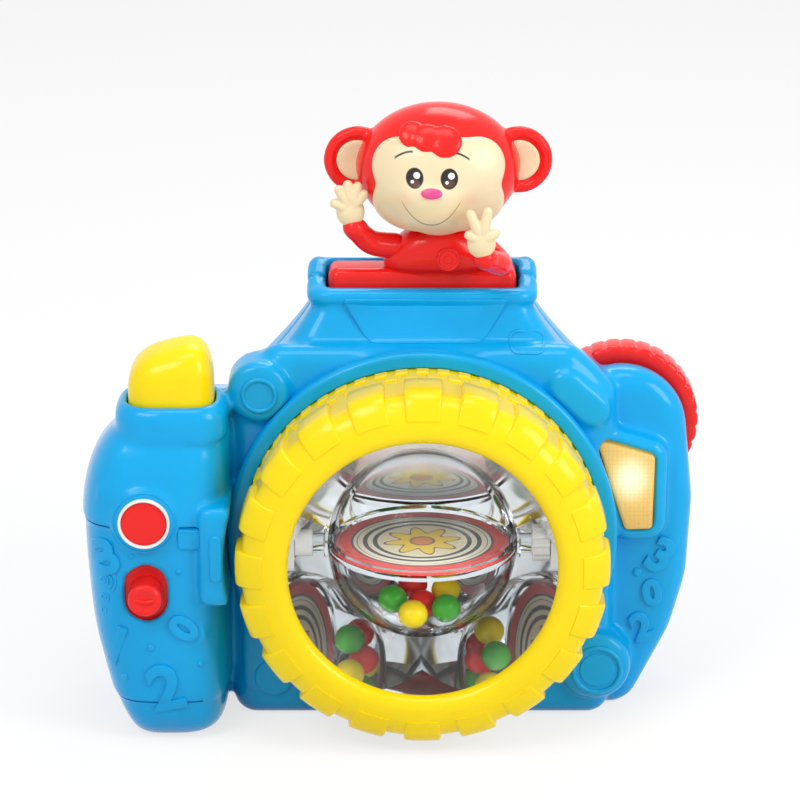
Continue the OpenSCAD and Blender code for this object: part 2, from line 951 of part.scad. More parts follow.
// Volume slider: a round knob through the slot, on a plate that runs behind the wall
module slider_knob() {
    color(red)
        translate([-control_x, 0, slider_z]) {
            ahead(plate_y - plate_t, plate_y)
                rounded_plan(slot_w + 2.2, slot_h + 2 * slide_travel + 1, 5);
            rotate([90, 0, 0])
                rotate_extrude()
                    polygon(concat(
                        [[0, plate_y - plate_t / 2], [knob_d / 2, plate_y - plate_t / 2]],
                        [for (a = [0:15:75]) [knob_d / 2 - 2, knob_front - 2] + polar(2, a)],
                        [[knob_d / 2 - 2, knob_front], [0, knob_front]]
                    ));
        }
}

module slide_switch() {
    color("dimgray")
        translate([-control_x, 0, slider_z])
            ahead(board_y, switch_y)
                square([10, 18], center = true);
}

module main_board() {
    color("darkgreen")
        translate([-board_x, 0, board_z])
            ahead(board_y - board_t, board_y)
                square([board_w, board_h], center = true);
}

module speaker() {
    color("dimgray") {
        rod_y(speaker_at, speaker_r, -inner_back, -inner_back + speaker_t / 3);
        rod_y(speaker_at, speaker_r / 2, -inner_back + speaker_t / 3, -inner_back + speaker_t);
    }
}

// Tray for the cells, open to the back
module battery_box() {
    color("lightgray")
        difference() {
            translate([-tray_w / 2, tray_y[0], tray_z])
                cube([tray_w, tray_y[1] - tray_y[0], tray_h]);
            translate([-tray_w / 2 + tray_wall, tray_y[0] + tray_wall, tray_z + tray_wall])
                cube([tray_w - 2 * tray_wall, far, tray_h - 2 * tray_wall]);
        }
}

module batteries() {
    color("#3c4a8c")
        for (k = [-1:1])
            translate([k * cell_pitch, cell_y, cell_z]) {
                cylinder(d = cell_d, h = cell_l - cell_tip);
                cylinder(d = cell_d * 0.38, h = cell_l);
            }
}

module battery_contacts() {
    color(steel)
        for (k = [-1:1], z = contact_z)
            translate([k * cell_pitch, cell_y, z + contact_t / 2])
                cube([cell_d - 3, cell_d - 3, contact_t], center = true);
}

// Door over the cells, round along its hinge edge at the top
module battery_door() {
    color(blue)
        difference() {
            union() {
                translate([-door_half_w, inner_back, door_foot])
                    cube([2 * door_half_w, wall, door_hinge_z - door_foot]);
                translate([0, door_hinge_y, door_hinge_z])
                    rotate([0, 90, 0])
                        cylinder(d = wall, h = 2 * door_half_w, center = true);
            }
            rod_y(door_screw_at, screw_r + seat_gap, -far, 0);
            rod_y(door_screw_at, screw_head_r + seat_gap, -far, screw_head_t - case_back);
        }
}

module door_screw() {
    color(steel) {
        rod_y(door_screw_at, screw_head_r, -case_back, screw_head_t - case_back);
        rod_y(door_screw_at, screw_r, screw_head_t - case_back, 0.5 - inner_back);
    }
}

module case_screws() {
    color(steel)
        for (s = screw_at) {
            rod_y(s, screw_head_r, -screw_seat - 2.2, -screw_seat);
            rod_y(s, screw_r, -screw_seat, screw_depth - 0.5);
        }
}

// Ring of the shutter button: share of its plan, height, and how much of the top's slope it takes
function button_ring(share, z, slope) = [
    for (p = oblong(button_w / 2 * share, button_d / 2 * share, button_square))
        [button_x + p[0], button_y + p[1], z + slope * (p[0] * button_slope[0] + p[1] * button_slope[1])]
];

// Rings of the shutter button from its underside to its sloping top
function button_rings() = [
    button_ring(1, button_foot, 0), button_ring(1, grip_top, 0),
    for (a = [0:18:90])
        button_ring(1 - button_round * (1 - cos(a)), grip_top + button_h - 6 * (1 - sin(a)), 1)
];

module shutter_button() {
    color(yellow) {
        loft(button_rings());
        translate([button_x - button_w / 2 - 1.2, button_y - 5, button_foot])
            cube([4, 10, button_tab_t]);
        translate([button_x - 5, button_y + button_d / 2 - 2.8, button_foot])
            cube([10, 4, button_tab_t]);
        translate([button_x - 3.5, button_y + 1, stem_z])
            cube([7, 7, button_foot - stem_z + 0.5]);
    }
}

// One ring of the spring's wire at a turn
function wire_ring(turn) = [
    for (j = [0:5])
        let (r = spring_r + wire_r * cos(60 * j), s = turn / (360 * spring_turns))
        [button_x + r * cos(turn), spring_y + r * sin(turn),
         spring_z + wire_r + slip_gap + s * spring_l - wire_r * sin(60 * j)]
];

module button_spring() {
    color(steel)
        loft([for (turn = [0:36:360 * spring_turns]) wire_ring(turn)]);
}

// Lever that turns the button's push into the monkey's rise
module rocker_lever() {
    color("white")
        translate([pivot_x, 0, pivot_z])
            rotate([0, rest_tilt, 0])
                difference() {
                    union() {
                        translate([-bar_arm, rocker_y[0], -bar_r])
                            cube([bar_arm + tip_arm, rocker_y[1] - rocker_y[0], 2 * bar_r]);
                        rod_y([0, 0], pin_r + 3, -rocker_y[1], -rocker_y[0]);
                        rod_y([-bar_arm, 0], bar_r, -rocker_y[1], -button_y - 2);
                        rod_y([tip_arm, 0], pin_r, -rocker_y[1], -leg_y[0]);
                    }
                    rod_y([0, 0], pin_r + run_gap, -far, 0);
                }
}

module rocker_pin() {
    color(steel) {
        rod_y([pivot_x, pivot_z], pin_r, -inner_back, slip_gap - rocker_y[0]);
        rod_y([pivot_x, pivot_z], pin_r + 1.4, slip_gap - rocker_y[0], slip_gap - rocker_y[0] + 1.4);
        rod_y([pivot_x, pivot_z], pin_r + 2, -inner_back, -rocker_y[1] - slip_gap);
    }
}

// Block that slides in the rim's opening, with a slotted leg that the lever lifts
module monkey_plunger() {
    color(red) {
        difference() {
            translate([0, 0, plunger_top - plunger_h])
                linear_extrude(plunger_h)
                    rounded_plan(plunger_w, plunger_d, 3);
            translate([0, 0, plunger_top - plunger_h - 1])
                linear_extrude(plunger_h - 1)
                    rounded_plan(plunger_w - 4, plunger_d - 4, 2);
        }
        difference() {
            translate([-leg_w / 2, leg_y[0], tip_z - pin_r - 2])
                cube([leg_w, leg_y[1] - leg_y[0], plunger_top - plunger_h - tip_z + pin_r + 3]);
            translate([0, 0, tip_z])
                cube([2 * pin_r + 2.4, far, 2 * pin_r + 0.5], center = true);
        }
    }
}

// Monkey's body, narrow where it stands in the opening
module torso_form(grow = 0) {
    loft([
        for (s = torso_stations)
            [for (p = oblong(s[0] + grow, s[1] + grow, 2.4, 28))
                [monkey_x + p[0], head_y + 1 + p[1], plunger_top + s[2] * (neck_z - plunger_top)]]
    ]);
}

module monkey_torso() {
    color(red)
        torso_form();
}

module chest_disc() {
    color(red)
        rod_y([monkey_x + 3, plunger_top + 7.5], 3.6, chest_front, chest_front + 1);
}

// Skull, ears and hair of the monkey, grown by a gap where other pieces are cut to it
module head_form(grow = 0) {
    g = [grow, grow, grow];
    translate([monkey_x, head_y, head_z]) {
        blob([0, 0, 0], [head_w, head_d, head_h] / 2 + g);
        blob([0, 3, -head_h * 0.3], [head_w * 0.3, head_d * 0.34, head_h * 0.22] + g);
        for (side = [-1, 1])
            blob([side * ear_x, 2, 1.2], [8.6, 4, 9.6] + g);
        for (k = [-1:1])
            limb([k * 2, -head_d * 0.28, head_h * 0.42], [k * 3.6 - 1, -head_d * 0.4, head_h * 0.37],
                 2 + grow, 1 + grow);
    }
}

module monkey_head() {
    color(red)
        difference() {
            head_form();
            translate([-far / 2, -far / 2, neck_z + seat_gap - far])
                cube(far);
        }
}

// Heart-shaped plan of the face: two brow lobes over wide cheeks
module face_plan() {
    for (side = [-1, 1])
        hull() {
            translate([side * head_w * 0.19, head_h * 0.09]) circle(head_w * 0.2, $fn = blend_fn);
            translate([side * head_w * 0.2, -head_h * 0.22]) circle(head_w * 0.235, $fn = blend_fn);
            translate([0, -head_h * 0.26]) circle(head_w * 0.2, $fn = blend_fn);
        }
}

// Skull grown to the face plate's surface
module face_ball(grow = 0) {
    blob([0, 0, 0], [head_w, head_d, head_h] / 2 + (face_t + grow) * [1, 1, 1]);
}

// Face plate on the front of the skull, with a low muzzle
module monkey_face() {
    color(cream)
        difference() {
            translate([monkey_x, head_y, head_z]) {
                intersection() {
                    face_ball();
                    ahead(head_d * 0.16, head_d)
                        face_plan();
                }
                blob([0, -head_d * 0.34, -head_h * 0.22], [head_w * 0.2, head_d * 0.17, head_h * 0.17]);
            }
            head_form(part_gap);
            translate([-far / 2, -far / 2, neck_z + seat_gap - far])
                cube(far);
        }
}

module monkey_ear_pads() {
    color(cream)
        difference() {
            for (side = [-1, 1])
                translate([monkey_x, head_y, head_z])
                    blob([side * (ear_x + 0.8), -1.2, 0.8], [5.2, 2, 6]);
            head_form(part_gap);
        }
}

// Puts what is counted from the spot the monkey stands on in its place
module at_figure() {
    translate([monkey_x, 0, plunger_top])
        children();
}

module arms_form(grow = 0) {
    at_figure()
        for (arm = [raised_arm, front_arm], k = [0, 1])
            limb(arm[k], arm[k + 1], 4 - 0.4 * k + grow, 3.6 - 0.4 * k + grow);
}

module monkey_arms() {
    color(red)
        difference() {
            arms_form();
            torso_form(part_gap);
            head_form(part_gap);
        }
}

// Palm with fingers that fan out from it; spread lists each finger's turn and length
module hand(at, spread) {
    translate(at) {
        blob([0, 0, 0], [4.4, 2.6, 4.8], 14);
        for (f = spread)
            limb([0, 0, 1], [f[1] * sin(f[0]), -0.6, 1 + f[1] * cos(f[0])], 1.7, 1.4);
    }
}

module monkey_hands() {
    color(cream)
        difference() {
            at_figure() {
                hand(raised_arm[2] + [-1.6, -1, 5.6], [[-70, 5], [-18, 6.6], [8, 7], [34, 6.6]]);
                hand(front_arm[2] + [-1.4, -2.4, 5.4], [[-26, 8.4], [8, 8.6], [62, 4.6]]);
            }
            arms_form(part_gap);
            head_form(part_gap);
            translate([monkey_x, head_y, head_z])
                face_ball(part_gap);
        }
}

front_shell();
back_shell();
ring_collar();
lens_barrel();
lens_ring();
mirror_cup();
bearing_left();
bearing_right();
ball_lower();
ball_upper();
ball_disc();
ball_gear();
ball_collar();
beads_yellow();
beads_red();
beads_green();
dial_wheel();
dial_axle();
flash_lens();
flash_reflector();
flash_led();
badge_rim();
badge_disc();
slider_knob();
slide_switch();
main_board();
speaker();
battery_box();
batteries();
battery_contacts();
battery_door();
door_screw();
case_screws();
shutter_button();
button_spring();
rocker_lever();
rocker_pin();
monkey_plunger();
monkey_torso();
chest_disc();
monkey_head();
monkey_face();
monkey_ear_pads();
monkey_arms();
monkey_hands();
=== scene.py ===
"""Looks of a toy camera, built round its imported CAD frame.

The case, lens ring, bead ball, controls and pop-up monkey are modelled as smooth mouldings over the CAD
solids, dressed in procedural finishes and shown on a plain pale floor.
"""

from __future__ import annotations

import logging
import sys
from dataclasses import dataclass
from enum import Enum
from math import asin, atan, copysign, cos, dist, exp, pi, radians, sin, sqrt
from typing import Sequence

import bpy
from mathutils import Matrix, Vector

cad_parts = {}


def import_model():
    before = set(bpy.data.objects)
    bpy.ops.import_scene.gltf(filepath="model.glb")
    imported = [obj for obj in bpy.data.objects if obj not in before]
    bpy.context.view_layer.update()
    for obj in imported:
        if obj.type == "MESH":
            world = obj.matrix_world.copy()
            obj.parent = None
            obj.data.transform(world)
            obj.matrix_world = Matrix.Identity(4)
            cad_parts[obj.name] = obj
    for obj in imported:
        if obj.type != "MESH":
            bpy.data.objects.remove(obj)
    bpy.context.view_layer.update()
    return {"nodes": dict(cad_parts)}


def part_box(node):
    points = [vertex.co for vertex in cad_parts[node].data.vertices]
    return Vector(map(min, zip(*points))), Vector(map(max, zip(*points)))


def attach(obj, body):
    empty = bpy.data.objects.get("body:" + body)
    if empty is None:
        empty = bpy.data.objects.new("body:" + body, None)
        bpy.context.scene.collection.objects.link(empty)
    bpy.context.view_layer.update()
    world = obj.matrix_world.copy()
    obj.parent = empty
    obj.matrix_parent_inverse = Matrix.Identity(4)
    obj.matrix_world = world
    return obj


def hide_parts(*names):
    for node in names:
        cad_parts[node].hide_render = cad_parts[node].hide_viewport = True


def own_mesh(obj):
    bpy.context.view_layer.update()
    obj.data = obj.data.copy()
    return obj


MM = 0.001
LOG = logging.getLogger("toy_camera")

# Points and spots are in millimetres, a circle is its x, z and radius, and a colour is linear.
Point = tuple[float, float, float]
Spot = tuple[float, float]
Circle = tuple[float, float, float]
Colour = tuple[float, float, float]
Ring = list[Point]
Piece = bpy.types.Object

# Places that several sub-assemblies share.
LENS_AT: Spot = (0.0, 60.0)
BALL_AT: Point = (0.0, -29.0, 60.0)
BADGE_AT: Spot = (-82.5, 73.0)
DIAL_AT: Spot = (60.8, 90.0)
DIAL_R = 23.6
BUTTON_AT: Spot = (-74.8, -28.0)
BUTTON_HALF: Spot = (12.8, 11.0)
BUTTON_POWER = 3.2
SCREWS: tuple[Spot, ...] = ((-92.0, 80.0), (-76.0, 13.0), (48.0, 10.0), (40.0, 108.0))
SPEAKER_AT: Spot = (52.0, 42.0)

# Refractive index of moulded plastic, and waves to a metre of its tool texture.
PLASTIC_INDEX = 1.49
TOOL_GRAIN = 2600.0


class Slot(Enum):
    """Material slots of the record."""

    BLUE = "blue_plastic"
    YELLOW = "yellow_plastic"
    RED = "red_plastic"
    GREEN = "green_plastic"
    CREAM = "cream_plastic"
    WHITE = "white_plastic"
    CLEAR = "clear_plastic"
    CARD = "printed_card"
    MIRROR = "mirror_film"
    FLASH = "flash_window"
    LED = "led"
    STEEL = "steel"
    CELL = "cell"
    CIRCUIT = "circuit"
    BLACK = "black_plastic"


class Body(Enum):
    """Bodies of the record that new pieces ride on."""

    CASE = "case"
    RING = "ring"
    BALL = "ball"
    DIAL = "dial"
    SLIDER = "slider"
    DOOR = "door"
    SHUTTER = "shutter"
    MONKEY = "monkey"


class Wire:
    """A shader socket that Python's operators join to numbers and to other sockets."""

    def __init__(self, graph: Graph, socket: bpy.types.NodeSocket) -> None:
        """Hold a socket of a graph."""
        self.graph = graph
        self.socket = socket

    def _math(self, operation: str, first: Wire | float, second: Wire | float = 0.0) -> Wire:
        """Join two values by a Math node."""
        return self.graph.node("ShaderNodeMath", {"operation": operation}, {0: first, 1: second})

    def __add__(self, other: Wire | float) -> Wire:
        """Sum of the two."""
        return self._math("ADD", self, other)

    __radd__ = __add__

    def __sub__(self, other: Wire | float) -> Wire:
        """This less the other."""
        return self._math("SUBTRACT", self, other)

    def __rsub__(self, other: Wire | float) -> Wire:
        """The other less this."""
        return self._math("SUBTRACT", other, self)

    def __mul__(self, other: Wire | float) -> Wire:
        """Product of the two."""
        return self._math("MULTIPLY", self, other)

    __rmul__ = __mul__

    def __truediv__(self, other: Wire | float) -> Wire:
        """This over the other."""
        return self._math("DIVIDE", self, other)

    def __pow__(self, other: float) -> Wire:
        """This to a power."""
        return self._math("POWER", self, other)

    def __abs__(self) -> Wire:
        """Size without its sign."""
        return self._math("ABSOLUTE", self)

    def __or__(self, other: Wire | float) -> Wire:
        """Larger of the two, which joins masks."""
        return self._math("MAXIMUM", self, other)

    def __and__(self, other: Wire | float) -> Wire:
        """Smaller of the two, which crosses masks."""
        return self._math("MINIMUM", self, other)

    def sine(self) -> Wire:
        """Sine of an angle in radians."""
        return self._math("SINE", self)

    def root(self) -> Wire:
        """Square root."""
        return self._math("SQRT", self)

    def angle(self, across: Wire) -> Wire:
        """Angle in radians of this over the value across."""
        return self._math("ARCTAN2", self, across)

    def step(self, edge: float, soft: float) -> Wire:
        """Mask that goes from 0 to 1 softly as this passes an edge."""
        return self.graph.node("ShaderNodeMapRange", {"interpolation_type": "SMOOTHSTEP"},
                               {0: self, 1: edge - soft, 2: edge + soft, 3: 0.0, 4: 1.0})

    def below(self, edge: float, soft: float) -> Wire:
        """Mask that is 1 below an edge and 0 above it."""
        return 1.0 - self.step(edge, soft)


class Graph:
    """Node tree of one material, or of the world."""

    def __init__(self, name: str, world: bool = False) -> None:
        """Start an empty material or world.

        Args:
            name: Name of the material or world.
            world: Whether it is a world.
        """
        self.owner = (bpy.data.worlds if world else bpy.data.materials).new(name)
        self.owner.use_nodes = True
        self.tree = self.owner.node_tree
        self.tree.nodes.clear()
        self.output = "ShaderNodeOutputWorld" if world else "ShaderNodeOutputMaterial"

    def node(self, kind: str, settings: dict[str, object] | None = None,
             inputs: dict[int | str, object] | None = None, output: int | str = 0) -> Wire:
        """Make a node with its settings, then its input values or links.

        Args:
            kind: Type of the node.
            settings: Properties of the node, set first.
            inputs: Values or wires by socket.
            output: Socket that is handed on.

        Returns:
            The chosen output as a wire.
        """
        made = self.tree.nodes.new(kind)
        for key, value in (settings or {}).items():
            setattr(made, key, value)
        for key, value in (inputs or {}).items():
            if isinstance(value, Wire):
                self.tree.links.new(value.socket, made.inputs[key])
            else:
                made.inputs[key].default_value = value
        return Wire(self, made.outputs[output])

    def place(self) -> Wire:
        """Object coordinates, in metres."""
        return self.node("ShaderNodeTexCoord", None, None, "Object")

    def axes(self, centre: Point = (0.0, 0.0, 0.0)) -> tuple[Wire, Wire, Wire]:
        """Object coordinates in millimetres, counted from a centre.

        Args:
            centre: Point in millimetres that becomes the origin.

        Returns:
            The x, y and z values.
        """
        moved = self.node("ShaderNodeMapping", {"vector_type": "POINT"}, {
            0: self.place(), "Location": tuple(-c for c in centre), "Scale": (1 / MM, 1 / MM, 1 / MM)})
        split = self.node("ShaderNodeSeparateXYZ", None, {0: moved})
        return tuple(Wire(self, output) for output in split.socket.node.outputs)

    def rays(self, *kinds: str) -> Wire:
        """Mask of the rays of any of the kinds given.

        Args:
            kinds: Outputs of the Light Path node.

        Returns:
            The mask.
        """
        outputs = self.node("ShaderNodeLightPath").socket.node.outputs
        mask, *others = (Wire(self, outputs[kind]) for kind in kinds)
        for other in others:
            mask = mask | other
        return mask

    def noise(self, scale: float, detail: float = 2.0, stretch: Point = (1.0, 1.0, 1.0)) -> Wire:
        """Cloudy noise from 0 to 1, so many waves to a metre."""
        place = self.node("ShaderNodeMapping", {"vector_type": "POINT"}, {0: self.place(), "Scale": stretch})
        return self.node("ShaderNodeTexNoise", None, {"Vector": place, "Scale": scale, "Detail": detail})

    def mix(self, mask: Wire, low: Wire | Colour, high: Wire | Colour) -> Wire:
        """Blend two colours by a mask, which is 0 for the first."""
        pair = [c if isinstance(c, Wire) else (*c, 1.0) for c in (low, high)]
        return self.node("ShaderNodeMix", {"data_type": "RGBA"}, {0: mask, 6: pair[0], 7: pair[1]}, 2)

    def bump(self, height: Wire, depth: float) -> Wire:
        """Normal of a surface with a height on it, so many millimetres deep."""
        return self.node("ShaderNodeBump", None, {"Strength": 1.0, "Distance": depth * MM, "Height": height})

    def finish(self, inputs: dict[int | str, object]) -> bpy.types.Material:
        """Close the material with one principled surface."""
        return self.close(self.node("ShaderNodeBsdfPrincipled", None, inputs))

    def close(self, surface: Wire) -> bpy.types.Material | bpy.types.World:
        """Join a surface to the output.

        Args:
            surface: Shader to show.

        Returns:
            The material or world.
        """
        out = self.tree.nodes.new(self.output)
        self.tree.links.new(surface.socket, out.inputs[0])
        return self.owner


def oval(x: Wire, z: Wire, half: Spot) -> Wire:
    """Distance from the middle of an oval, which is 1 at its edge."""
    return ((x / half[0]) ** 2.0 + (z / half[1]) ** 2.0).root()


def tint(colour: Colour, share: float) -> Colour:
    """Scale a linear colour's brightness, up to 1."""
    return tuple(min(1.0, c * share) for c in colour)


@dataclass(frozen=True)
class MouldedPlastic:
    """Glossy injection-moulded plastic with faint flow clouds, handling marks and a fine tool texture."""

    name: str
    slot: Slot
    colour: Colour
    gloss: float = 0.2
    clouds: float = 0.05
    texture: float = 0.012

    def make(self) -> bpy.types.Material:
        """Build the material.

        Returns:
            The material.
        """
        graph = Graph(self.name)
        flow = graph.noise(42.0, 3.0)
        marks = graph.noise(210.0, 4.0, (1.0, 1.0, 0.35))
        dark, light = (tint(self.colour, 1 + change) for change in (-self.clouds, self.clouds))
        return graph.finish({
            "Base Color": graph.mix(flow.step(0.5, 0.28), dark, light),
            "Roughness": self.gloss + marks.step(0.62, 0.14) * 0.07 + flow * 0.05,
            "IOR": PLASTIC_INDEX, "Specular IOR Level": 0.2, "Coat Weight": 0.15, "Coat Roughness": 0.07,
            "Normal": graph.bump(graph.noise(TOOL_GRAIN, 1.0), self.texture),
        })


@dataclass(frozen=True)
class ClearPlastic:
    """Clear styrene with faint flow lines and light scuffs."""

    name: str
    slot: Slot
    colour: Colour = (0.97, 0.99, 1.0)
    shade: Colour = (0.96, 0.97, 0.98)
    index: float = 1.15

    def make(self) -> bpy.types.Material:
        """Build the material.

        Returns:
            The material.
        """
        graph = Graph(self.name)
        scuffs = graph.noise(900.0, 3.0, (1.0, 0.2, 1.0))
        body = graph.node("ShaderNodeBsdfPrincipled", None, {
            "Base Color": (*self.colour, 1.0), "Roughness": 0.015 + scuffs.step(0.68, 0.06) * 0.06,
            "IOR": self.index, "Transmission Weight": 1.0,
            "Normal": graph.bump(graph.noise(60.0, 1.0), 0.03),
        })
        shade = graph.node("ShaderNodeBsdfTransparent", None, {"Color": (*self.shade, 1.0)})
        return graph.close(graph.node("ShaderNodeMixShader", None, {
            0: graph.rays("Is Shadow Ray"), 1: body, 2: shade}))


@dataclass(frozen=True)
class MirrorFilm:
    """Metallised mirror film, a little dusty, and satin in its upper part."""

    name: str
    slot: Slot
    colour: Colour = (0.93, 0.94, 0.95)
    satin_z: float = 76.0
    satin: float = 0.3

    def make(self) -> bpy.types.Material:
        """Build the material.

        Returns:
            The material.
        """
        graph = Graph(self.name)
        dust = graph.noise(120.0, 4.0).step(0.6, 0.2)
        _, _, z = graph.axes()
        return graph.finish({
            "Base Color": graph.mix(dust, self.colour, tint(self.colour, 0.93)), "Metallic": 0.93,
            "Roughness": 0.025 + dust * 0.03 + z.step(self.satin_z, 9.0) * self.satin,
            "Normal": graph.bump(graph.noise(38.0, 1.0), 0.05),
        })


@dataclass(frozen=True)
class PlatedSteel:
    """Plated steel with fine draw lines."""

    name: str
    slot: Slot
    colour: Colour = (0.62, 0.62, 0.64)

    def make(self) -> bpy.types.Material:
        """Build the material.

        Returns:
            The material.
        """
        graph = Graph(self.name)
        lines = graph.noise(1500.0, 2.0, (1.0, 0.06, 1.0))
        base = graph.mix(lines, tint(self.colour, 0.82), tint(self.colour, 1.1))
        return graph.finish({
            "Base Color": base, "Metallic": 1.0, "Roughness": 0.22 + lines * 0.16,
            "Normal": graph.bump(lines, 0.01),
        })


@dataclass(frozen=True)
class DiscPrint:
    """Printed card of the bead ball: red rim, cream band, dark rings and a yellow flower."""

    name: str
    slot: Slot
    stripe: float = 3.0
    stripe_ink: Colour = (0.02, 0.014, 0.012)
    cream: Colour = (0.86, 0.78, 0.6)
    middle_r: float = 13.2
    middle: Colour = (0.83, 0.71, 0.45)
    petals: int = 8
    petal_rise: float = 2.4
    flower: tuple[tuple[float, Colour], ...] = ((9.6, (0.05, 0.03, 0.02)), (8.8, (0.93, 0.62, 0.01)))
    heart: tuple[tuple[float, Colour], ...] = ((3.9, (0.2, 0.07, 0.015)), (3.2, (0.75, 0.24, 0.02)))
    border: tuple[tuple[float, Colour], ...] = (
        (19.8, (0.86, 0.78, 0.6)), (20.8, (0.03, 0.02, 0.02)), (21.6, (0.8, 0.03, 0.025)))
    fibre: Colour = (0.9, 0.86, 0.75)

    def make(self) -> bpy.types.Material:
        """Build the material.

        Returns:
            The material.
        """
        graph = Graph(self.name)
        x, y, _ = graph.axes(BALL_AT)
        radius = (x * x + y * y).root()
        stripes = (radius * (2 * pi / self.stripe)).sine().step(-0.1, 0.12)
        paint = graph.mix(stripes, self.stripe_ink, self.cream)
        paint = graph.mix(radius.below(self.middle_r, 0.12), paint, self.middle)
        petal = radius - self.petal_rise * (y.angle(x) * float(self.petals)).sine()
        for edge, colour in self.flower:
            paint = graph.mix(petal.below(edge, 0.15), paint, colour)
        for edge, colour in self.heart:
            paint = graph.mix(radius.below(edge, 0.12), paint, colour)
        for edge, colour in self.border:
            paint = graph.mix(radius.step(edge, 0.1), paint, colour)
        fibres = graph.noise(700.0, 3.0)
        return graph.finish({
            "Base Color": graph.mix(fibres * 0.12, paint, self.fibre), "Roughness": 0.34 + fibres * 0.12,
            "Coat Weight": 0.3, "Coat Roughness": 0.15, "Normal": graph.bump(fibres, 0.015),
        })


@dataclass(frozen=True)
class FacePaint:
    """Cream face plate with painted eyes, brows and cheeks, and painted shade along the smile crease under
    the muzzle, all placed on the face's plane.
    """

    name: str
    slot: Slot
    colour: Colour = (0.85, 0.69, 0.44)
    front_y: float = -9.0
    ink: Colour = (0.012, 0.008, 0.008)
    eyes: tuple[Spot, Spot] = ((-2.4, 171.4), (7.8, 171.3))
    eye_half: Spot = (2.6, 3.05)
    iris_half: Spot = (1.5, 1.1)
    iris: Colour = (0.16, 0.06, 0.03)
    lights: tuple[Circle, ...] = ((0.6, 0.8, 1.0), (-0.7, -1.1, 0.5))
    brow: Spot = (3.2, 6.9)
    brow_half: Spot = (2.7, 0.3)
    nose: Spot = (2.6, 167.2)
    nose_half: Spot = (3.2, 1.6)
    pink: Colour = (0.7, 0.06, 0.25)
    # The smile line is painted shade along the fold under the muzzle: its place, half size and colour.
    mouth_crease_shade: Spot = (2.4, 156.6)
    mouth_crease_shade_half: Spot = (8.6, 0.24)
    crease_shade_colour: Colour = (0.46, 0.26, 0.12)
    cheeks: tuple[Spot, Spot] = ((-5.6, 164.6), (13.6, 164.6))
    cheek_half: Spot = (4.2, 3.2)
    blush: Colour = (0.85, 0.34, 0.24)

    def make(self) -> bpy.types.Material:
        """Build the material.

        Returns:
            The material.
        """
        graph = Graph(self.name)
        flow = graph.noise(90.0, 3.0)
        paint = graph.mix(flow.step(0.5, 0.3), tint(self.colour, 0.96), tint(self.colour, 1.03))
        x, y, z = graph.axes()
        front = y.below(self.front_y, 0.3)
        for side, (eye_x, eye_z) in zip((-1.0, 1.0), self.eyes):
            paint = self._eye(graph, paint, x - eye_x, z - eye_z, front)
            across = x - (eye_x + side * self.brow[0])
            rise = z - (eye_z + self.brow[1]) + across * (0.4 * side)
            paint = graph.mix(self._stroke(across, rise, self.brow_half, -0.07) * front, paint, self.ink)
        # Painted shade: a dark line along the fold under the muzzle, standing in for the crease's shadow.
        mouth_crease_shade = self._stroke(x - self.mouth_crease_shade[0], z - self.mouth_crease_shade[1], self.mouth_crease_shade_half, 0.1)
        paint = graph.mix(mouth_crease_shade * front, paint, self.crease_shade_colour)
        nose = oval(x - self.nose[0], z - self.nose[1], self.nose_half)
        paint = graph.mix(nose.below(1.0, 0.06) * front, paint, self.pink)
        for cheek_x, cheek_z in self.cheeks:
            cheek = oval(x - cheek_x, z - cheek_z, self.cheek_half)
            paint = graph.mix(cheek.below(0.6, 0.5) * 0.2 * front, paint, self.blush)
        return graph.finish({
            "Base Color": paint, "Roughness": 0.3 + flow * 0.1, "IOR": PLASTIC_INDEX, "Coat Weight": 0.12,
            "Coat Roughness": 0.15, "Normal": graph.bump(graph.noise(TOOL_GRAIN, 1.0), 0.012),
        })

    def _eye(self, graph: Graph, paint: Wire, x: Wire, z: Wire, front: Wire) -> Wire:
        """Paint one eye with its two lights.

        Args:
            graph: Graph of the material.
            paint: Colour so far.
            x: Distance across from the eye's middle.
            z: Distance up from the eye's middle.
            front: Mask of the front of the face.

        Returns:
            The colour with the eye on it.
        """
        paint = graph.mix(oval(x, z, self.eye_half).below(1.0, 0.05) * front, paint, self.ink)
        iris = oval(x, z + 1.4, self.iris_half)
        paint = graph.mix(iris.below(1.0, 0.3) * 0.6 * front, paint, self.iris)
        for across, up, size in self.lights:
            light = oval(x - across, z - up, (1.0, 1.0))
            paint = graph.mix(light.below(size, 0.08) * front, paint, (0.95, 0.95, 0.95))
        return paint

    @staticmethod
    def _stroke(x: Wire, z: Wire, half: Spot, bend: float) -> Wire:
        """Mask of one bent brush stroke."""
        return abs(z - x * x * bend).below(half[1], 0.08) * abs(x).below(half[0], 0.3)


@dataclass(frozen=True)
class FlashGlow:
    """Frosted window with moulded cross ribs and a painted glow: warm emission, brightest in a painted hot
    spot over the lamp and darker along the ribs, standing in for light from behind.
    """

    name: str
    slot: Slot
    lamp: Spot = (63.0, 77.5)
    lamp_half: Spot = (1.0, 1.25)
    rib: float = 2.3
    glow: float = 0.5

    def make(self) -> bpy.types.Material:
        """Build the material.

        Returns:
            The material.
        """
        graph = Graph(self.name)
        x, _, z = graph.axes()
        # Painted glow: the window emits a warm colour, with a painted hot spot over the lamp and darker
        # lines along the ribs, though no lamp lights it.
        gap = oval(x - self.lamp[0], z - self.lamp[1], self.lamp_half)
        ribs = abs((z * self.rib).sine()) & abs((x * self.rib).sine())
        painted_glow = graph.mix(gap.below(8.0, 6.0), (0.55, 0.3, 0.03), (1.0, 0.72, 0.2))
        painted_hot_spot = graph.mix(gap.below(4.0, 3.4), painted_glow, (1.9, 1.8, 1.4))
        painted_glow_with_ribs = graph.mix(ribs.below(0.16, 0.14) * 0.35, painted_hot_spot, (0.6, 0.43, 0.16))
        return graph.finish({
            "Base Color": (0.5, 0.33, 0.1, 1.0), "Roughness": 0.16 + ribs * 0.1, "IOR": PLASTIC_INDEX,
            "Coat Weight": 0.3, "Coat Roughness": 0.08, "Emission Color": painted_glow_with_ribs,
            "Emission Strength": self.glow, "Normal": graph.bump(ribs.step(0.2, 0.2), 0.12),
        })


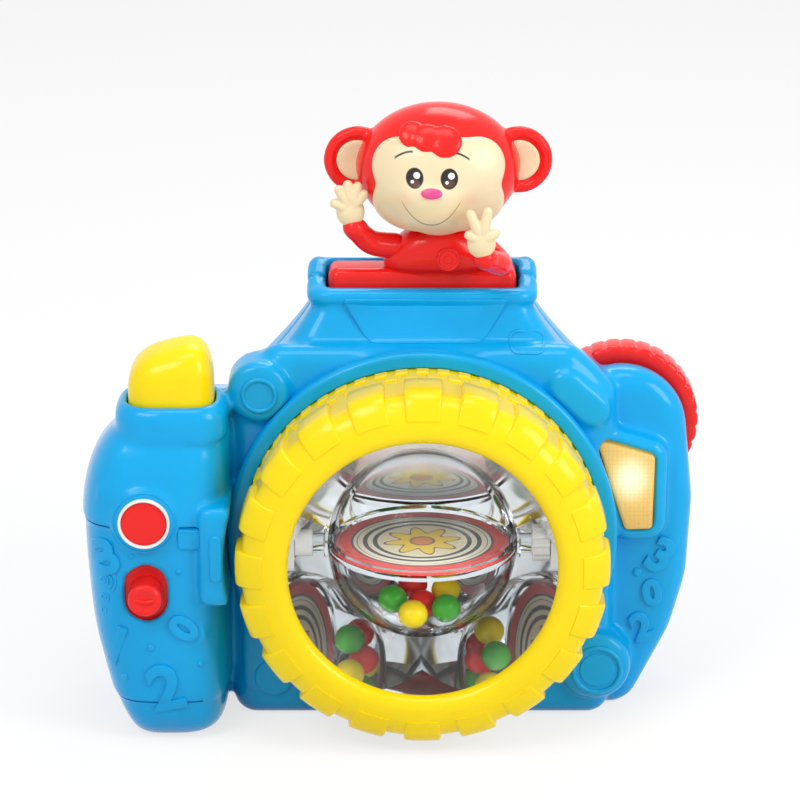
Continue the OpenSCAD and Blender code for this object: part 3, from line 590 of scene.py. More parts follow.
@dataclass(frozen=True)
class CellSleeve:
    """Printed shrink sleeve of a dry cell with a bare end."""

    name: str
    slot: Slot
    split: float = 50.0

    def make(self) -> bpy.types.Material:
        """Build the material.

        Returns:
            The material.
        """
        graph = Graph(self.name)
        _, _, z = graph.axes()
        wear = graph.noise(300.0, 3.0)
        sleeve = graph.mix(z.step(self.split, 0.2), (0.03, 0.045, 0.16), (0.62, 0.4, 0.12))
        base = graph.mix(wear * 0.2, sleeve, (0.5, 0.5, 0.52))
        return graph.finish({"Base Color": base, "Metallic": 0.35, "Roughness": 0.28 + wear * 0.15,
                             "Coat Weight": 0.3, "Coat Roughness": 0.1})


@dataclass(frozen=True)
class CircuitBoard:
    """Green solder mask with copper tracks under it."""

    name: str
    slot: Slot

    def make(self) -> bpy.types.Material:
        """Build the material.

        Returns:
            The material.
        """
        graph = Graph(self.name)
        x, _, z = graph.axes()
        tracks = (x * 1.6).sine().step(0.75, 0.08) | (z * 1.1).sine().step(0.85, 0.08)
        grain = graph.noise(800.0, 2.0)
        base = graph.mix(tracks, (0.012, 0.11, 0.035), (0.04, 0.24, 0.07))
        return graph.finish({"Base Color": graph.mix(grain * 0.2, base, (0.02, 0.08, 0.03)),
                             "Roughness": 0.3 + grain * 0.15, "Normal": graph.bump(tracks, 0.03)})


@dataclass(frozen=True)
class PaleFloor:
    """Plain pale floor that shows white to the camera and keeps the object's shadow."""

    name: str = "pale_floor"
    colour: Colour = (0.86, 0.86, 0.86)
    lift: float = 0.72

    def make(self) -> bpy.types.Material:
        """Build the material.

        Returns:
            The material.
        """
        graph = Graph(self.name)
        matt = graph.node("ShaderNodeBsdfDiffuse", None, {"Color": (*self.colour, 1.0), "Roughness": 0.9})
        white = graph.node("ShaderNodeEmission", None, {"Color": (1.0, 1.0, 1.0, 1.0), "Strength": 1.0})
        seen = graph.rays("Is Camera Ray", "Is Glossy Ray", "Is Transmission Ray")
        return graph.close(graph.node("ShaderNodeMixShader", None, {0: seen * self.lift, 1: matt, 2: white}))


class Finishes:
    """Every finish of the object, made once and handed out by its name."""

    def __init__(self) -> None:
        """Make the materials."""
        made = [
            MouldedPlastic("gloss_blue", Slot.BLUE, (0.002, 0.37, 0.76), 0.17),
            MouldedPlastic("gloss_yellow", Slot.YELLOW, (0.94, 0.70, 0.002), 0.2, 0.03),
            MouldedPlastic("gloss_red", Slot.RED, (0.86, 0.016, 0.014), 0.17, 0.04),
            MouldedPlastic("gloss_green", Slot.GREEN, (0.05, 0.4, 0.03), 0.17),
            MouldedPlastic("satin_cream", Slot.CREAM, (0.85, 0.69, 0.44), 0.3, 0.03),
            MouldedPlastic("satin_white", Slot.WHITE, (0.84, 0.84, 0.82), 0.25, 0.02),
            MouldedPlastic("matt_black", Slot.BLACK, (0.02, 0.02, 0.022), 0.42, 0.1, 0.03),
            MouldedPlastic("milky_lamp", Slot.LED, (0.95, 0.88, 0.66), 0.2, 0.02),
            ClearPlastic("clear_styrene", Slot.CLEAR),
            MirrorFilm("mirror_film", Slot.MIRROR),
            DiscPrint("disc_print", Slot.CARD),
            FacePaint("face_paint", Slot.CREAM),
            FlashGlow("flash_glow", Slot.FLASH),
            PlatedSteel("plated_steel", Slot.STEEL),
            CellSleeve("cell_sleeve", Slot.CELL),
            CircuitBoard("circuit_board", Slot.CIRCUIT),
        ]
        self.slots = {finish.name: finish.slot for finish in made}
        self.materials = {finish.name: finish.make() for finish in made}

    def dress(self, obj: Piece, finish: str) -> None:
        """Give an object one finish."""
        obj.data.materials.clear()
        obj.data.materials.append(self.materials[finish])


def arc(centre: Spot, radii: Spot, start: float, stop: float, steps: int) -> list[Spot]:
    """Points along an arc between two angles in degrees."""
    turns = [radians(start + (stop - start) * k / steps) for k in range(steps + 1)]
    return [(centre[0] + radii[0] * cos(t), centre[1] + radii[1] * sin(t)) for t in turns]


def circle(centre: Spot, radius: float, count: int) -> list[Spot]:
    """Points round a circle, counter-clockwise."""
    turns = [2 * pi * k / count for k in range(count)]
    return [(centre[0] + radius * cos(t), centre[1] + radius * sin(t)) for t in turns]


def squircle(half_w: float, half_d: float, power: float, count: int) -> list[Spot]:
    """Points spaced evenly round a rounded oblong.

    Args:
        half_w: Half width.
        half_d: Half depth.
        power: Squareness of its corners.
        count: Number of points.

    Returns:
        The points, counter-clockwise.
    """
    fine = 720
    spots = []
    for k in range(fine + 1):
        c, s = cos(2 * pi * k / fine), sin(2 * pi * k / fine)
        spots.append((half_w * copysign(abs(c) ** (2 / power), c),
                      half_d * copysign(abs(s) ** (2 / power), s)))
    run = [0.0]
    for a, b in zip(spots, spots[1:]):
        run.append(run[-1] + dist(a, b))
    even = []
    at = 0
    for k in range(count):
        goal = run[-1] * k / count
        while run[at + 1] < goal:
            at += 1
        share = (goal - run[at]) / max(run[at + 1] - run[at], 1e-9)
        even.append(tuple(p + (q - p) * share for p, q in zip(spots[at], spots[at + 1])))
    return even


def ease(low: float, high: float, value: float) -> float:
    """Smooth step of a value between two edges."""
    share = min(max((value - low) / (high - low), 0.0), 1.0)
    return share * share * (3 - 2 * share)


def level(outline: Sequence[Spot], z: float, at: Spot = (0.0, 0.0)) -> Ring:
    """Ring of an outline in x and y, set at a spot and a height."""
    return [(at[0] + x, at[1] + y, z) for x, y in outline]


def upright(outline: Sequence[Spot], y: float) -> Ring:
    """Ring of an outline in x and z, set at a depth."""
    return [(x, y, z) for x, z in outline]


class Bench:
    """Modelling steps, each on one object at a time. Sizes are in millimetres, meshes in metres."""

    @staticmethod
    def clear() -> None:
        """Leave edit mode and deselect everything."""
        active = bpy.context.view_layer.objects.active
        if active and active.mode != "OBJECT":
            bpy.ops.object.mode_set(mode="OBJECT")
        bpy.ops.object.select_all(action="DESELECT")

    @staticmethod
    def pick(obj: Piece, *others: Piece) -> None:
        """Select objects and make the first one active.

        Args:
            obj: Object that becomes active.
            others: Further objects to select.
        """
        Bench.clear()
        for each in (obj, *others):
            each.select_set(True)
        bpy.context.view_layer.objects.active = obj

    @staticmethod
    def _named(name: str) -> Piece:
        """Name the object that an operator has just added.

        Args:
            name: Its name.

        Returns:
            The object.
        """
        obj = bpy.context.view_layer.objects.active
        obj.name = name
        obj.data.name = name
        return obj

    @staticmethod
    def _close(obj: Piece, fill: bool) -> None:
        """Merge doubles, fill open ends and turn the faces outwards.

        Args:
            obj: Object to close.
            fill: Whether open ends are filled.
        """
        Bench.pick(obj)
        bpy.ops.object.mode_set(mode="EDIT")
        bpy.ops.mesh.select_all(action="SELECT")
        bpy.ops.mesh.remove_doubles(threshold=1e-6)
        if fill:
            bpy.ops.mesh.fill_holes(sides=0)
        bpy.ops.mesh.select_all(action="SELECT")
        bpy.ops.mesh.normals_make_consistent(inside=False)
        bpy.ops.object.mode_set(mode="OBJECT")

    @staticmethod
    def skin(name: str, rows: Sequence[Ring], around: bool = True, fill: bool = True) -> Piece:
        """Skin through rows of points, from a grid whose vertices go onto them.

        Args:
            name: Name of the object.
            rows: Rows of points, each of the same length.
            around: Whether each row closes on itself.
            fill: Whether the open ends are filled.

        Returns:
            The new object.
        """
        runs = [list(row) + [row[0]] if around else list(row) for row in rows]
        Bench.clear()
        across, up = len(runs[0]) - 1, len(runs) - 1
        bpy.ops.mesh.primitive_grid_add(x_subdivisions=across, y_subdivisions=up, size=MM)
        obj = Bench._named(name)
        places = [c * MM for run in runs for point in run for c in point]
        obj.data.vertices.foreach_set("co", places)
        Bench._close(obj, fill)
        return obj

    @staticmethod
    def turned(name: str, profile: Sequence[Spot], steps: int, centre: Point,
               along: Point = (0.0, -1.0, 0.0)) -> Piece:
        """Spin a closed profile about an axis.

        Args:
            name: Name of the object.
            profile: Points as radius and distance along the axis.
            steps: Steps of the spin.
            centre: Point on the axis.
            along: Direction of the axis.

        Returns:
            The new object.
        """
        axis = Vector(along).normalized()
        across = Vector((0.0, 0.0, 1.0)) if abs(axis.z) < 0.9 else Vector((1.0, 0.0, 0.0))
        across = (across - axis * across.dot(axis)).normalized()
        Bench.clear()
        bpy.ops.mesh.primitive_circle_add(vertices=len(profile), radius=MM, fill_type="NOTHING")
        obj = Bench._named(name)
        spots = [(Vector(centre) + across * r + axis * d) * MM for r, d in profile]
        obj.data.vertices.foreach_set("co", [c for spot in spots for c in spot])
        Bench.pick(obj)
        bpy.ops.object.mode_set(mode="EDIT")
        bpy.ops.mesh.select_all(action="SELECT")
        bpy.ops.mesh.spin(steps=steps, angle=2 * pi, center=Vector(centre) * MM, axis=axis)
        bpy.ops.object.mode_set(mode="OBJECT")
        Bench._close(obj, False)
        return obj

    @staticmethod
    def ball(name: str, centre: Point, half: Point, fine: int, tilt: float = 0.0) -> Piece:
        """Rounded solid with three half sizes.

        Args:
            name: Name of the object.
            centre: Its middle.
            half: Half sizes along its axes.
            fine: Segments round it.
            tilt: Turn about X in degrees.

        Returns:
            The new object.
        """
        Bench.clear()
        bpy.ops.mesh.primitive_uv_sphere_add(segments=fine, ring_count=fine // 2, radius=1.0)
        obj = Bench._named(name)
        spin = Matrix.Rotation(radians(tilt), 4, "X")
        size = Matrix.Diagonal((*(h * MM for h in half), 1.0))
        obj.data.transform(Matrix.Translation(Vector(centre) * MM) @ spin @ size)
        return obj

    @staticmethod
    def limb(name: str, points: Sequence[Point], radii: Sequence[float], sides: int,
             steps: int) -> Piece:
        """Round bar along a smooth path, with round ends.

        Args:
            name: Name of the object.
            points: Points that the path goes through.
            radii: Radius at each point.
            sides: Sides of the bar.
            steps: Sections between two points.

        Returns:
            The new object.
        """
        path = Bench.path([(*p, r) for p, r in zip(points, radii)], steps)
        spots = [Vector(p[:3]) for p in path]
        sizes = [p[3] for p in path]
        flow = [(b - a).normalized() for a, b in zip(spots, spots[1:])]
        flow = [flow[0]] + [(a + b).normalized() for a, b in zip(flow, flow[1:])] + [flow[-1]]
        rows: list[Ring] = []
        side = flow[0].orthogonal().normalized()
        caps = [(sin(a), cos(a)) for a in (radians(degrees) for degrees in (4, 22, 45, 68))]
        for at, size, ahead, end in zip(spots, sizes, flow, range(len(spots))):
            side = (side - ahead * side.dot(ahead)).normalized()
            other = ahead.cross(side)
            levels = [(size, 0.0)]
            if end == 0:
                levels = [(size * wide, -size * shift) for wide, shift in caps] + levels
            if end == len(spots) - 1:
                levels = levels + [(size * wide, size * shift) for wide, shift in reversed(caps)]
            for wide, shift in levels:
                rows.append([tuple(at + ahead * shift + side * across + other * up)
                             for across, up in circle((0.0, 0.0), wide, sides)])
        return Bench.skin(name, rows)

    @staticmethod
    def path(points: Sequence[Sequence[float]], steps: int) -> list[list[float]]:
        """Smooth path through points of any number of values.

        Args:
            points: Points to go through.
            steps: Steps between two points.

        Returns:
            The points of the path.
        """
        run = [points[0], *points, points[-1]]
        path = []
        for a, b, c, d in zip(run, run[1:], run[2:], run[3:]):
            for k in range(steps):
                t = k / steps
                path.append([0.5 * (2 * q + (r - p) * t + (2 * p - 5 * q + 4 * r - s) * t * t
                                    + (3 * q - p - 3 * r + s) * t ** 3) for p, q, r, s in zip(a, b, c, d)])
        return path + [list(points[-1])]

    @staticmethod
    def numeral(name: str, sign: str, height: float, thick: float, bold: float) -> Piece:
        """Raised numeral standing in the x and z plane, its middle at the origin, facing the viewer.

        Args:
            name: Name of the object.
            sign: The numeral.
            height: Height in millimetres.
            thick: Thickness in millimetres.
            bold: Widening of its strokes in millimetres.

        Returns:
            The new mesh object.
        """
        Bench.clear()
        bpy.ops.object.text_add()
        obj = Bench._named(name)
        obj.data.body = sign
        obj.data.size = 1.42 * height * MM
        obj.data.extrude = thick / 2 * MM
        obj.data.offset = bold * MM
        obj.data.bevel_depth = 0.3 * MM
        obj.data.bevel_resolution = 2
        obj.data.resolution_u = 6
        Bench.pick(obj)
        bpy.ops.object.convert(target="MESH")
        obj = Bench._named(name)
        low = Vector((min(v.co[k] for v in obj.data.vertices) for k in range(3)))
        high = Vector((max(v.co[k] for v in obj.data.vertices) for k in range(3)))
        stand = Matrix.Rotation(radians(90), 4, "X") @ Matrix.Translation((low + high) / -2)
        obj.data.transform(stand)
        Bench._close(obj, False)
        return obj

    @staticmethod
    def combine(target: Piece, *others: Piece, operation: str = "DIFFERENCE") -> None:
        """Apply Booleans of other objects, which are used up.

        Args:
            target: Object that is changed.
            others: Objects that are joined to it or cut from it, in order.
            operation: UNION or DIFFERENCE.
        """
        for other in others:
            step = target.modifiers.new("combine", "BOOLEAN")
            step.object = other
            step.operation = operation
            step.solver = "MANIFOLD"
            Bench.apply(target, step)
            bpy.data.objects.remove(other)

    @staticmethod
    def apply(obj: Piece, step: bpy.types.Modifier) -> None:
        """Apply one modifier."""
        Bench.pick(obj)
        bpy.ops.object.modifier_apply(modifier=step.name)

    @staticmethod
    def soften(obj: Piece, voxel: float, passes: int) -> None:
        """Melt an object's forms into one smooth moulding.

        Args:
            obj: Object to melt.
            voxel: Size of its new mesh in millimetres.
            passes: Smoothing passes, each of half strength.
        """
        melt = obj.modifiers.new("melt", "REMESH")
        melt.mode = "VOXEL"
        melt.voxel_size = voxel * MM
        Bench.apply(obj, melt)
        smooth = obj.modifiers.new("smooth", "SMOOTH")
        smooth.factor = 0.5
        smooth.iterations = passes
        Bench.apply(obj, smooth)
        Bench.pick(obj)
        bpy.ops.object.shade_smooth()

    @staticmethod
    def round_edges(obj: Piece, width: float, segments: int) -> Piece:
        """Round an object's sharp edges.

        Args:
            obj: Object to round.
            width: Width of the rounding in millimetres.
            segments: Segments across it.

        Returns:
            The object.
        """
        step = obj.modifiers.new("edges", "BEVEL")
        step.width = width * MM
        step.segments = segments
        step.limit_method = "ANGLE"
        step.angle_limit = radians(30.0)
        Bench.apply(obj, step)
        return obj

    @staticmethod
    def shade(obj: Piece, degrees: float) -> Piece:
        """Shade an object smooth up to an angle.

        Args:
            obj: Object to shade.
            degrees: The angle.

        Returns:
            The object.
        """
        Bench.pick(obj)
        bpy.ops.object.shade_smooth_by_angle(angle=radians(degrees))
        return obj

    @staticmethod
    def join(name: str, pieces: Sequence[Piece]) -> Piece:
        """Join objects into one.

        Args:
            name: Name of the result.
            pieces: Objects to join.

        Returns:
            The joined object.
        """
        Bench.pick(*pieces)
        if len(pieces) > 1:
            bpy.ops.object.join()
        return Bench._named(name)

    @staticmethod
    def copy(obj: Piece, place: Matrix, name: str) -> Piece:
        """Copy an object with a mesh of its own, moved within the mesh.

        Args:
            obj: Object to copy.
            place: Transform of the copy's mesh, in metres.
            name: Name of the copy.

        Returns:
            The copy.
        """
        twin = obj.copy()
        twin.data = obj.data.copy()
        twin.data.transform(place)
        twin.name = name
        bpy.context.scene.collection.objects.link(twin)
        return twin

    @staticmethod
    def lay_on(obj: Piece, ground: Piece, from_front: bool = True) -> None:
        """Bend a flat piece, drawn in x and z about y = 0, onto the surface behind it.

        Args:
            obj: Piece whose y is counted from the surface.
            ground: Object that it is laid on.
            from_front: Whether it lies on the side that faces the viewer.
        """
        way = 1.0 if from_front else -1.0
        last = None
        for vertex in obj.data.vertices:
            start = Vector((vertex.co.x, -0.3 * way, vertex.co.z))
            hit, spot, _, _ = ground.ray_cast(start, Vector((0.0, way, 0.0)))
            last = spot.y if hit else last
            vertex.co.y = (last if last is not None else 0.0) + vertex.co.y * way


@dataclass(frozen=True)
class Plan:
    """Convex outline in x and z, drawn round a set of circles."""

    rounds: tuple[Circle, ...]

    @staticmethod
    def oblong(x: float, z: float, w: float, h: float, r: float) -> Plan:
        """Rounded oblong about a middle, with a corner radius."""
        across, up = w / 2 - r, h / 2 - r
        return Plan(tuple((x + sx * across, z + sz * up, r) for sx in (-1, 1) for sz in (-1, 1)))

    @staticmethod
    def twin(spots: Sequence[Spot], r: float) -> Plan:
        """Plan round circles of one radius, at spots and at their mirror images in x."""
        return Plan(tuple((x * side, z, r) for x, z in spots for side in (-1, 1)))

    def ring(self, inset: float = 0.0, count: int = 120) -> list[Spot]:
        """Points round the outline, drawn in by an inset.

        Args:
            inset: Distance that the outline is drawn in.
            count: Number of points.

        Returns:
            The points.
        """
        spots = []
        for k in range(count):
            turn = 2 * pi * (k + 0.5) / count
            across, up = cos(turn), sin(turn)
            x, z, r = max(self.rounds, key=lambda c: c[0] * across + c[1] * up + c[2])
            spots.append((x + (r - inset) * across, z + (r - inset) * up))
        return spots

    def slab(self, name: str, front: float, back: float, edges: Spot = (0.0, 0.0), inset: float = 0.0,
             rear: Plan | None = None, count: int = 120) -> Piece:
        """Slab between two distances from the split line, with rounded front and back edges.

        Args:
            name: Name of the object.
            front: Place of its front, along y.
            back: Place of its back, along y.
            edges: Rounding of the front and of the back edge.
            inset: Distance that the whole slab is drawn in.
            rear: Plan of the back, where it differs.
            count: Points round the outline.

        Returns:
            The new object.
        """
        steps = 6
        rows: list[Ring] = []
        for plan, at, edge, way in ((self, front, edges[0], 1.0), (rear or self, back, edges[1], -1.0)):
            edge = max(edge - inset, 0.0)
            span = range(steps + 1) if edge > 0 else range(1)
            part = []
            for k in span:
                turn = pi / 2 * k / steps
                draw = inset + edge * (1 - sin(turn))
                y = at + way * (inset + edge * (1 - cos(turn)))
                part.append(upright(plan.ring(draw, count), y))
            rows += part if way > 0 else part[::-1]
        return Bench.skin(name, rows)


class Shop:
    """Takes finished pieces: dresses them, hangs them on their bodies and reports them."""

    def __init__(self, finishes: Finishes) -> None:
        """Keep the finishes."""
        self.finishes = finishes

    def deliver(self, obj: Piece, finish: str, body: Body, *nodes: str) -> Piece:
        """Finish a new piece.

        Args:
            obj: The piece.
            finish: Name of its finish.
            body: Body that it moves with.
            nodes: CAD nodes that it stands for.

        Returns:
            The piece.
        """
        self.finishes.dress(obj, finish)
        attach(obj, body.value)
        if nodes:
            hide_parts(*nodes)
        LOG.info("%s: %d faces, %s, on %s", obj.name, len(obj.data.polygons), finish, body.value)
        return obj


def box(name: str, low: Point, high: Point) -> Piece:
    """Plain box between its lowest and its highest corner."""
    plan = [(low[0], low[1]), (high[0], low[1]), (high[0], high[1]), (low[0], high[1])]
    return Bench.skin(name, [level(plan, z) for z in (low[2], high[2])])


def rod(name: str, at: Spot, radius: float, front: float, back: float, sides: int = 32) -> Piece:
    """Rod at an x and z that runs front to back."""
    ring = circle(at, radius, sides)
    return Bench.skin(name, [upright(ring, y) for y in (front, back)])


def plate(name: str, plan: Plan, rise: float, edge: float, ground: Piece) -> Piece:
    """Low raised plate with a rounded edge, laid on a moulding.

    Args:
        name: Name of the object.
        plan: Outline in x and z.
        rise: Height over the ground.
        edge: Rounding of its edge.
        ground: Moulding that it is laid on.

    Returns:
        The new object.
    """
    count, sink = 72, 0.6
    outline = plan.ring(edge, count)
    middle = tuple(sum(p[k] for p in outline) / len(outline) for k in (0, 1))
    rows: list[Ring] = []
    for share in (0.04, 0.3, 0.55, 0.78, 0.94):
        rows.append([(middle[0] + (x - middle[0]) * share, -rise, middle[1] + (z - middle[1]) * share)
                     for x, z in outline])
    for across, up in arc((0.0, 0.0), (edge, edge), 0.0, 90.0, 3):
        rows.append(upright(plan.ring(edge - up, count), edge - across - rise))
    rows.append(upright(plan.ring(0.0, count), sink))
    obj = Bench.skin(name, rows)
    Bench.lay_on(obj, ground)
    return Bench.shade(obj, 50.0)


def hoop(name: str, outline: Sequence[Spot], tube: float, ground: Piece | None = None,
         from_front: bool = True) -> Piece:
    """Closed round bead along an outline in x and z, laid on a moulding.

    Args:
        name: Name of the object.
        outline: Points of the closed line.
        tube: Radius of the bead.
        ground: Moulding that it is laid on.
        from_front: Whether it lies on the side that faces the viewer.

    Returns:
        The new object.
    """
    rows: list[Ring] = []
    count = len(outline)
    for k, (x, z) in enumerate(outline):
        before, after = outline[k - 1], outline[(k + 1) % count]
        flow = Vector((after[0] - before[0], after[1] - before[1])).normalized()
        rows.append([(x + flow.y * wide, y, z - flow.x * wide) for wide, y in circle((0.0, 0.0), tube, 10)])
    obj = Bench.skin(name, rows + [rows[0]], True, False)
    if ground:
        Bench.lay_on(obj, ground, from_front)
    return Bench.shade(obj, 80.0)


@dataclass
class CaseShells:
    """Blue case in two halves: middle block with an arch, grip, wing, bridge and prism hump."""

    shop: Shop
    wall: float = 2.2
    edges: Spot = (6.0, 6.0)
    front: float = -22.0
    back: float = 26.0
    voxel: float = 0.9
    block_half: float = 51.0
    corner: float = 7.0
    arch_r: float = 74.0
    arch_levels: tuple[float, ...] = (112.0, 109.0, 106.0, 103.0)
    rear_top: float = 97.0
    wing_front: float = -14.0
    wing: Plan = Plan(((*DIAL_AT, 19.5), (57.0, 67.0, 25.5), (48.0, 48.0, 33.5), (46.0, 37.0, 32.6),
                       (50.0, 27.0, 24.4), (54.0, 18.0, 16.6), (58.0, 9.5, 9.5)))
    wing_rear: Circle = (59.4, 86.6, 19.2)
    bridge_x: float = -56.5
    bridge_w: float = 44.0
    bridge_z: Point = (4.0, 100.0, 94.0)
    bridge_front: float = -8.0
    grip_side: Spot = (-102.6, -57.6)
    grip_front: float = -47.0
    grip_top: float = 105.0
    grip_fall: float = 16.0
    fall_start: float = 0.6
    stations: tuple[tuple[float, float, float, float], ...] = (
        (0.0, 14.5, 9.0, 11.0), (0.02, 12.0, 3.0, 7.0), (0.06, 10.0, 0.5, 3.2), (0.12, 7.6, 0.0, 1.2),
        (0.24, 4.4, 0.0, 0.4), (0.37, 1.8, 0.0, 0.0), (0.57, 0.2, 0.0, 0.0), (0.7, 0.2, 0.0, 0.3),
        (0.8, 1.6, 0.0, 1.4), (0.87, 3.8, 0.0, 3.2), (0.92, 6.6, 0.0, 5.8), (0.95, 9.4, 0.3, 8.6),
        (0.962, 12.0, 1.4, 11.0))
    seams: tuple[Spot, ...] = ((71.0, 0.9), (14.5, 0.7))
    seam_half: float = 0.3
    seam_end: float = -66.2
    prism_foot: float = 108.0
    prism_size: Spot = (64.4, 20.6)
    prism_flare: Spot = (33.6, 17.4)
    rim: Point = (70.0, 24.0, 137.5)
    rim_roll: tuple[Spot, ...] = (
        (2.6, 5.2), (1.2, 4.8), (0.4, 4.1), (0.0, 3.1), (0.0, 2.2), (0.4, 1.1), (1.2, 0.4), (2.4, 0.0))
    lip_roll: tuple[Spot, ...] = ((3.9, -9.0), (3.9, -2.6), (3.6, -1.2), (3.0, 0.1), (2.2, 1.0), (1.2, 1.6))
    opening: Spot = (58.0, 14.0)
    barrel_r: float = 46.0
    collar_r: float = 59.0
    lobes: tuple[tuple[str, Plan, float, float], ...] = (
        ("lobe_high", Plan(((-49.0, 106.0, 9.4),)), -26.0, 3.0),
        ("lobe_low", Plan(((53.0, 18.0, 11.0),)), -26.0, 3.0),
        ("tab", Plan.oblong(-61.5, 62.0, 10.2, 31.0, 3.0), -48.6, 2.2),
        ("lobe_right", Plan(((43.0, 107.0, 5.6), (51.0, 100.0, 5.6))), -24.4, 2.3))
    flash: tuple[Spot, ...] = ((55.6, 87.0), (68.3, 83.0), (68.0, 63.0), (63.2, 62.8))
    flash_r: float = 2.2
    boss_r: float = 4.5
    switch_posts: tuple[Spot, ...] = ((-67.0, 36.0), (-67.0, 68.0))
    switch_post_r: float = 2.5
    switch_y: Spot = (-45.5, -36.8)
    spring_shelf: tuple[Point, Point] = ((-82.8, -45.9, 73.8), (-66.8, -29.9, 76.0))
    slider_cuts: tuple[tuple[str, Plan, float], ...] = (
        ("dish", Plan(((-82.5, 43.6, 9.6), (-82.5, 54.0, 9.0))), -46.0),
        ("slot", Plan(((-82.5, 47.4, 6.2), (-82.5, 52.6, 6.2))), -36.8))
    door: tuple[float, float, float] = (22.8, 13.7, 66.0)
    grille_step: float = 4.24

    def build(self) -> tuple[Piece, Piece]:
        """Build both halves.

        Returns:
            The front and the back shell.
        """
        front = self.shop.deliver(self._front(), "gloss_blue", Body.CASE, "front_shell")
        back = self.shop.deliver(self._back(), "gloss_blue", Body.CASE, "back_shell")
        return front, back

    @staticmethod
    def _fine(inset: float) -> int:
        """Points round an outline, fewer on the inside of the wall."""
        return 160 if inset == 0 else 72

    def _block(self, inset: float) -> Piece:
        """Middle block, its top level under the prism and lower at the back.

        Args:
            inset: Distance that it is drawn in.

        Returns:
            The block.
        """
        half, corner, mid = self.block_half, self.corner, LENS_AT[1]
        arch = self.arch_r - corner
        tops = [(sqrt(arch ** 2 - (z - mid) ** 2), z) for z in self.arch_levels]
        tops.append((half, mid + sqrt(arch ** 2 - half ** 2)))
        rear = Plan.twin([(half, corner), (half, self.rear_top)], corner)
        plan = Plan.twin([*tops, (half, corner)], corner)
        return plan.slab("block", self.front, self.back, self.edges, inset, rear, self._fine(inset))

    def _wing(self, inset: float) -> Piece:
        """Right wing under the dial."""
        rear = Plan((self.wing_rear, *self.wing.rounds[1:]))
        return self.wing.slab("wing", self.wing_front, self.back, self.edges, inset, rear, self._fine(inset))

    def _bridge(self, inset: float) -> Piece:
        """Low bridge between the grip and the middle block.

        Args:
            inset: Distance that it is drawn in.

        Returns:
            The bridge.
        """
        foot, *tops = self.bridge_z
        plan, rear = (Plan.oblong(self.bridge_x, (foot + top) / 2, self.bridge_w, top - foot, 6.5)
                      for top in tops)
        return plan.slab("bridge", self.bridge_front, self.back, self.edges, inset, rear, 72)

    def _grip(self, inset: float) -> Piece:
        """Hand grip, skinned through its stations, with two seam steps round it.

        Args:
            inset: Distance that it is drawn in.

        Returns:
            The grip.
        """
        count, steps = (120, 6) if inset == 0 else (48, 2)
        stations = Bench.path(self.stations, steps)
        if inset == 0:
            for seam, _ in self.seams:
                stations += [self._station(stations, (seam + shift) / self.grip_top)
                             for shift in (-self.seam_half, self.seam_half)]
            stations.sort(key=lambda s: s[0])
        rows = [self._section(station, inset + self._step(station[0] * self.grip_top), inset, count)
                for station in stations]
        return Bench.skin("grip", rows)

    def _step(self, height: float) -> float:
        """Depth of the seam steps above a height."""
        return sum(step for seam, step in self.seams if height < seam)

    def _section(self, station: Sequence[float], draw: float, inset: float, count: int) -> Ring:
        """Ring of the grip at a station.

        Args:
            station: Share of the height, and how far the outer side, inner side and front are drawn in.
            draw: Further distance that the ring is drawn in.
            inset: Distance that the whole grip is drawn in.
            count: Points round the ring.

        Returns:
            The ring.
        """
        share, outer, inner, ahead = (max(0.0, v) for v in station[:4])
        left, right = self.grip_side[0] + outer + draw, self.grip_side[1] - inner - draw
        near, rear = self.grip_front + ahead + draw, self.back - min(ahead, self.edges[1]) - draw
        height = inset + share * (self.grip_top - 2 * inset)
        slope = self.grip_fall * max(share - self.fall_start, 0.0) / (1 - self.fall_start)
        return [((left + right) / 2 + x, (near + rear) / 2 + y, height - slope * (y / (rear - near) + 0.5))
                for x, y in squircle((right - left) / 2, (rear - near) / 2, 4.0, count)]

    def _seam_line(self, seam: float, step: float) -> Piece:
        """Cutter of the fine line where two mouldings of the grip meet.

        Args:
            seam: Height of the line.
            step: Depth of the step at it.

        Returns:
            The cutter.
        """
        station = self._station(Bench.path(self.stations, 6), seam / self.grip_top)
        base, thin = self._step(seam), self.seam_half
        rows = [[(x, y, z + rise) for x, y, z in self._section(station, base + draw, 0.0, 120)]
                for draw, rise in ((-3.0, -thin), (-3.0, thin), (step + thin, thin), (step + thin, -thin))]
        line = Bench.skin("seam_line", rows + [rows[0]], True, False)
        Bench.combine(line, box("seam_end", (self.seam_end, -80.0, seam - 9.0), (0.0, 80.0, seam + 9.0)))
        if abs(seam - BADGE_AT[1]) < 10.0:
            Bench.combine(line, rod("boss_gap", BADGE_AT, 10.4, -80.0, 0.0, 64))
        return line

    @staticmethod
    def _station(stations: Sequence[Sequence[float]], share: float) -> list[float]:
        """Station at a share of the height, between its neighbours.

        Args:
            stations: Stations in order.
            share: Share of the height.

        Returns:
            The four values of the station.
        """
        for a, b in zip(stations, stations[1:]):
            if a[0] <= share <= b[0]:
                t = (share - a[0]) / max(b[0] - a[0], 1e-9)
                return [p + (q - p) * t for p, q in zip(a, b)]
        return list(stations[-1])

    def _prism(self, inset: float) -> Piece:
        """Prism hump, flaring softly towards its foot.

        Args:
            inset: Distance that it is drawn in.

        Returns:
            The hump.
        """
        rows: list[Ring] = []
        foot, steps = self.prism_foot, 12
        top = self.rim[2] - 7.0 - 3.0 * inset
        for k in range(steps + 1):
            rise = k / steps
            flare = (1 - rise) ** 1.22
            w, d = (size + more * flare - 2 * inset for size, more in zip(self.prism_size, self.prism_flare))
            plan = Plan.oblong(0.0, -2.0 * (1 - rise), w, d, 5.0 + 3.0 * flare)
            rows.append(level(plan.ring(), foot + (top - foot) * rise))
        return Bench.skin("prism", rows)

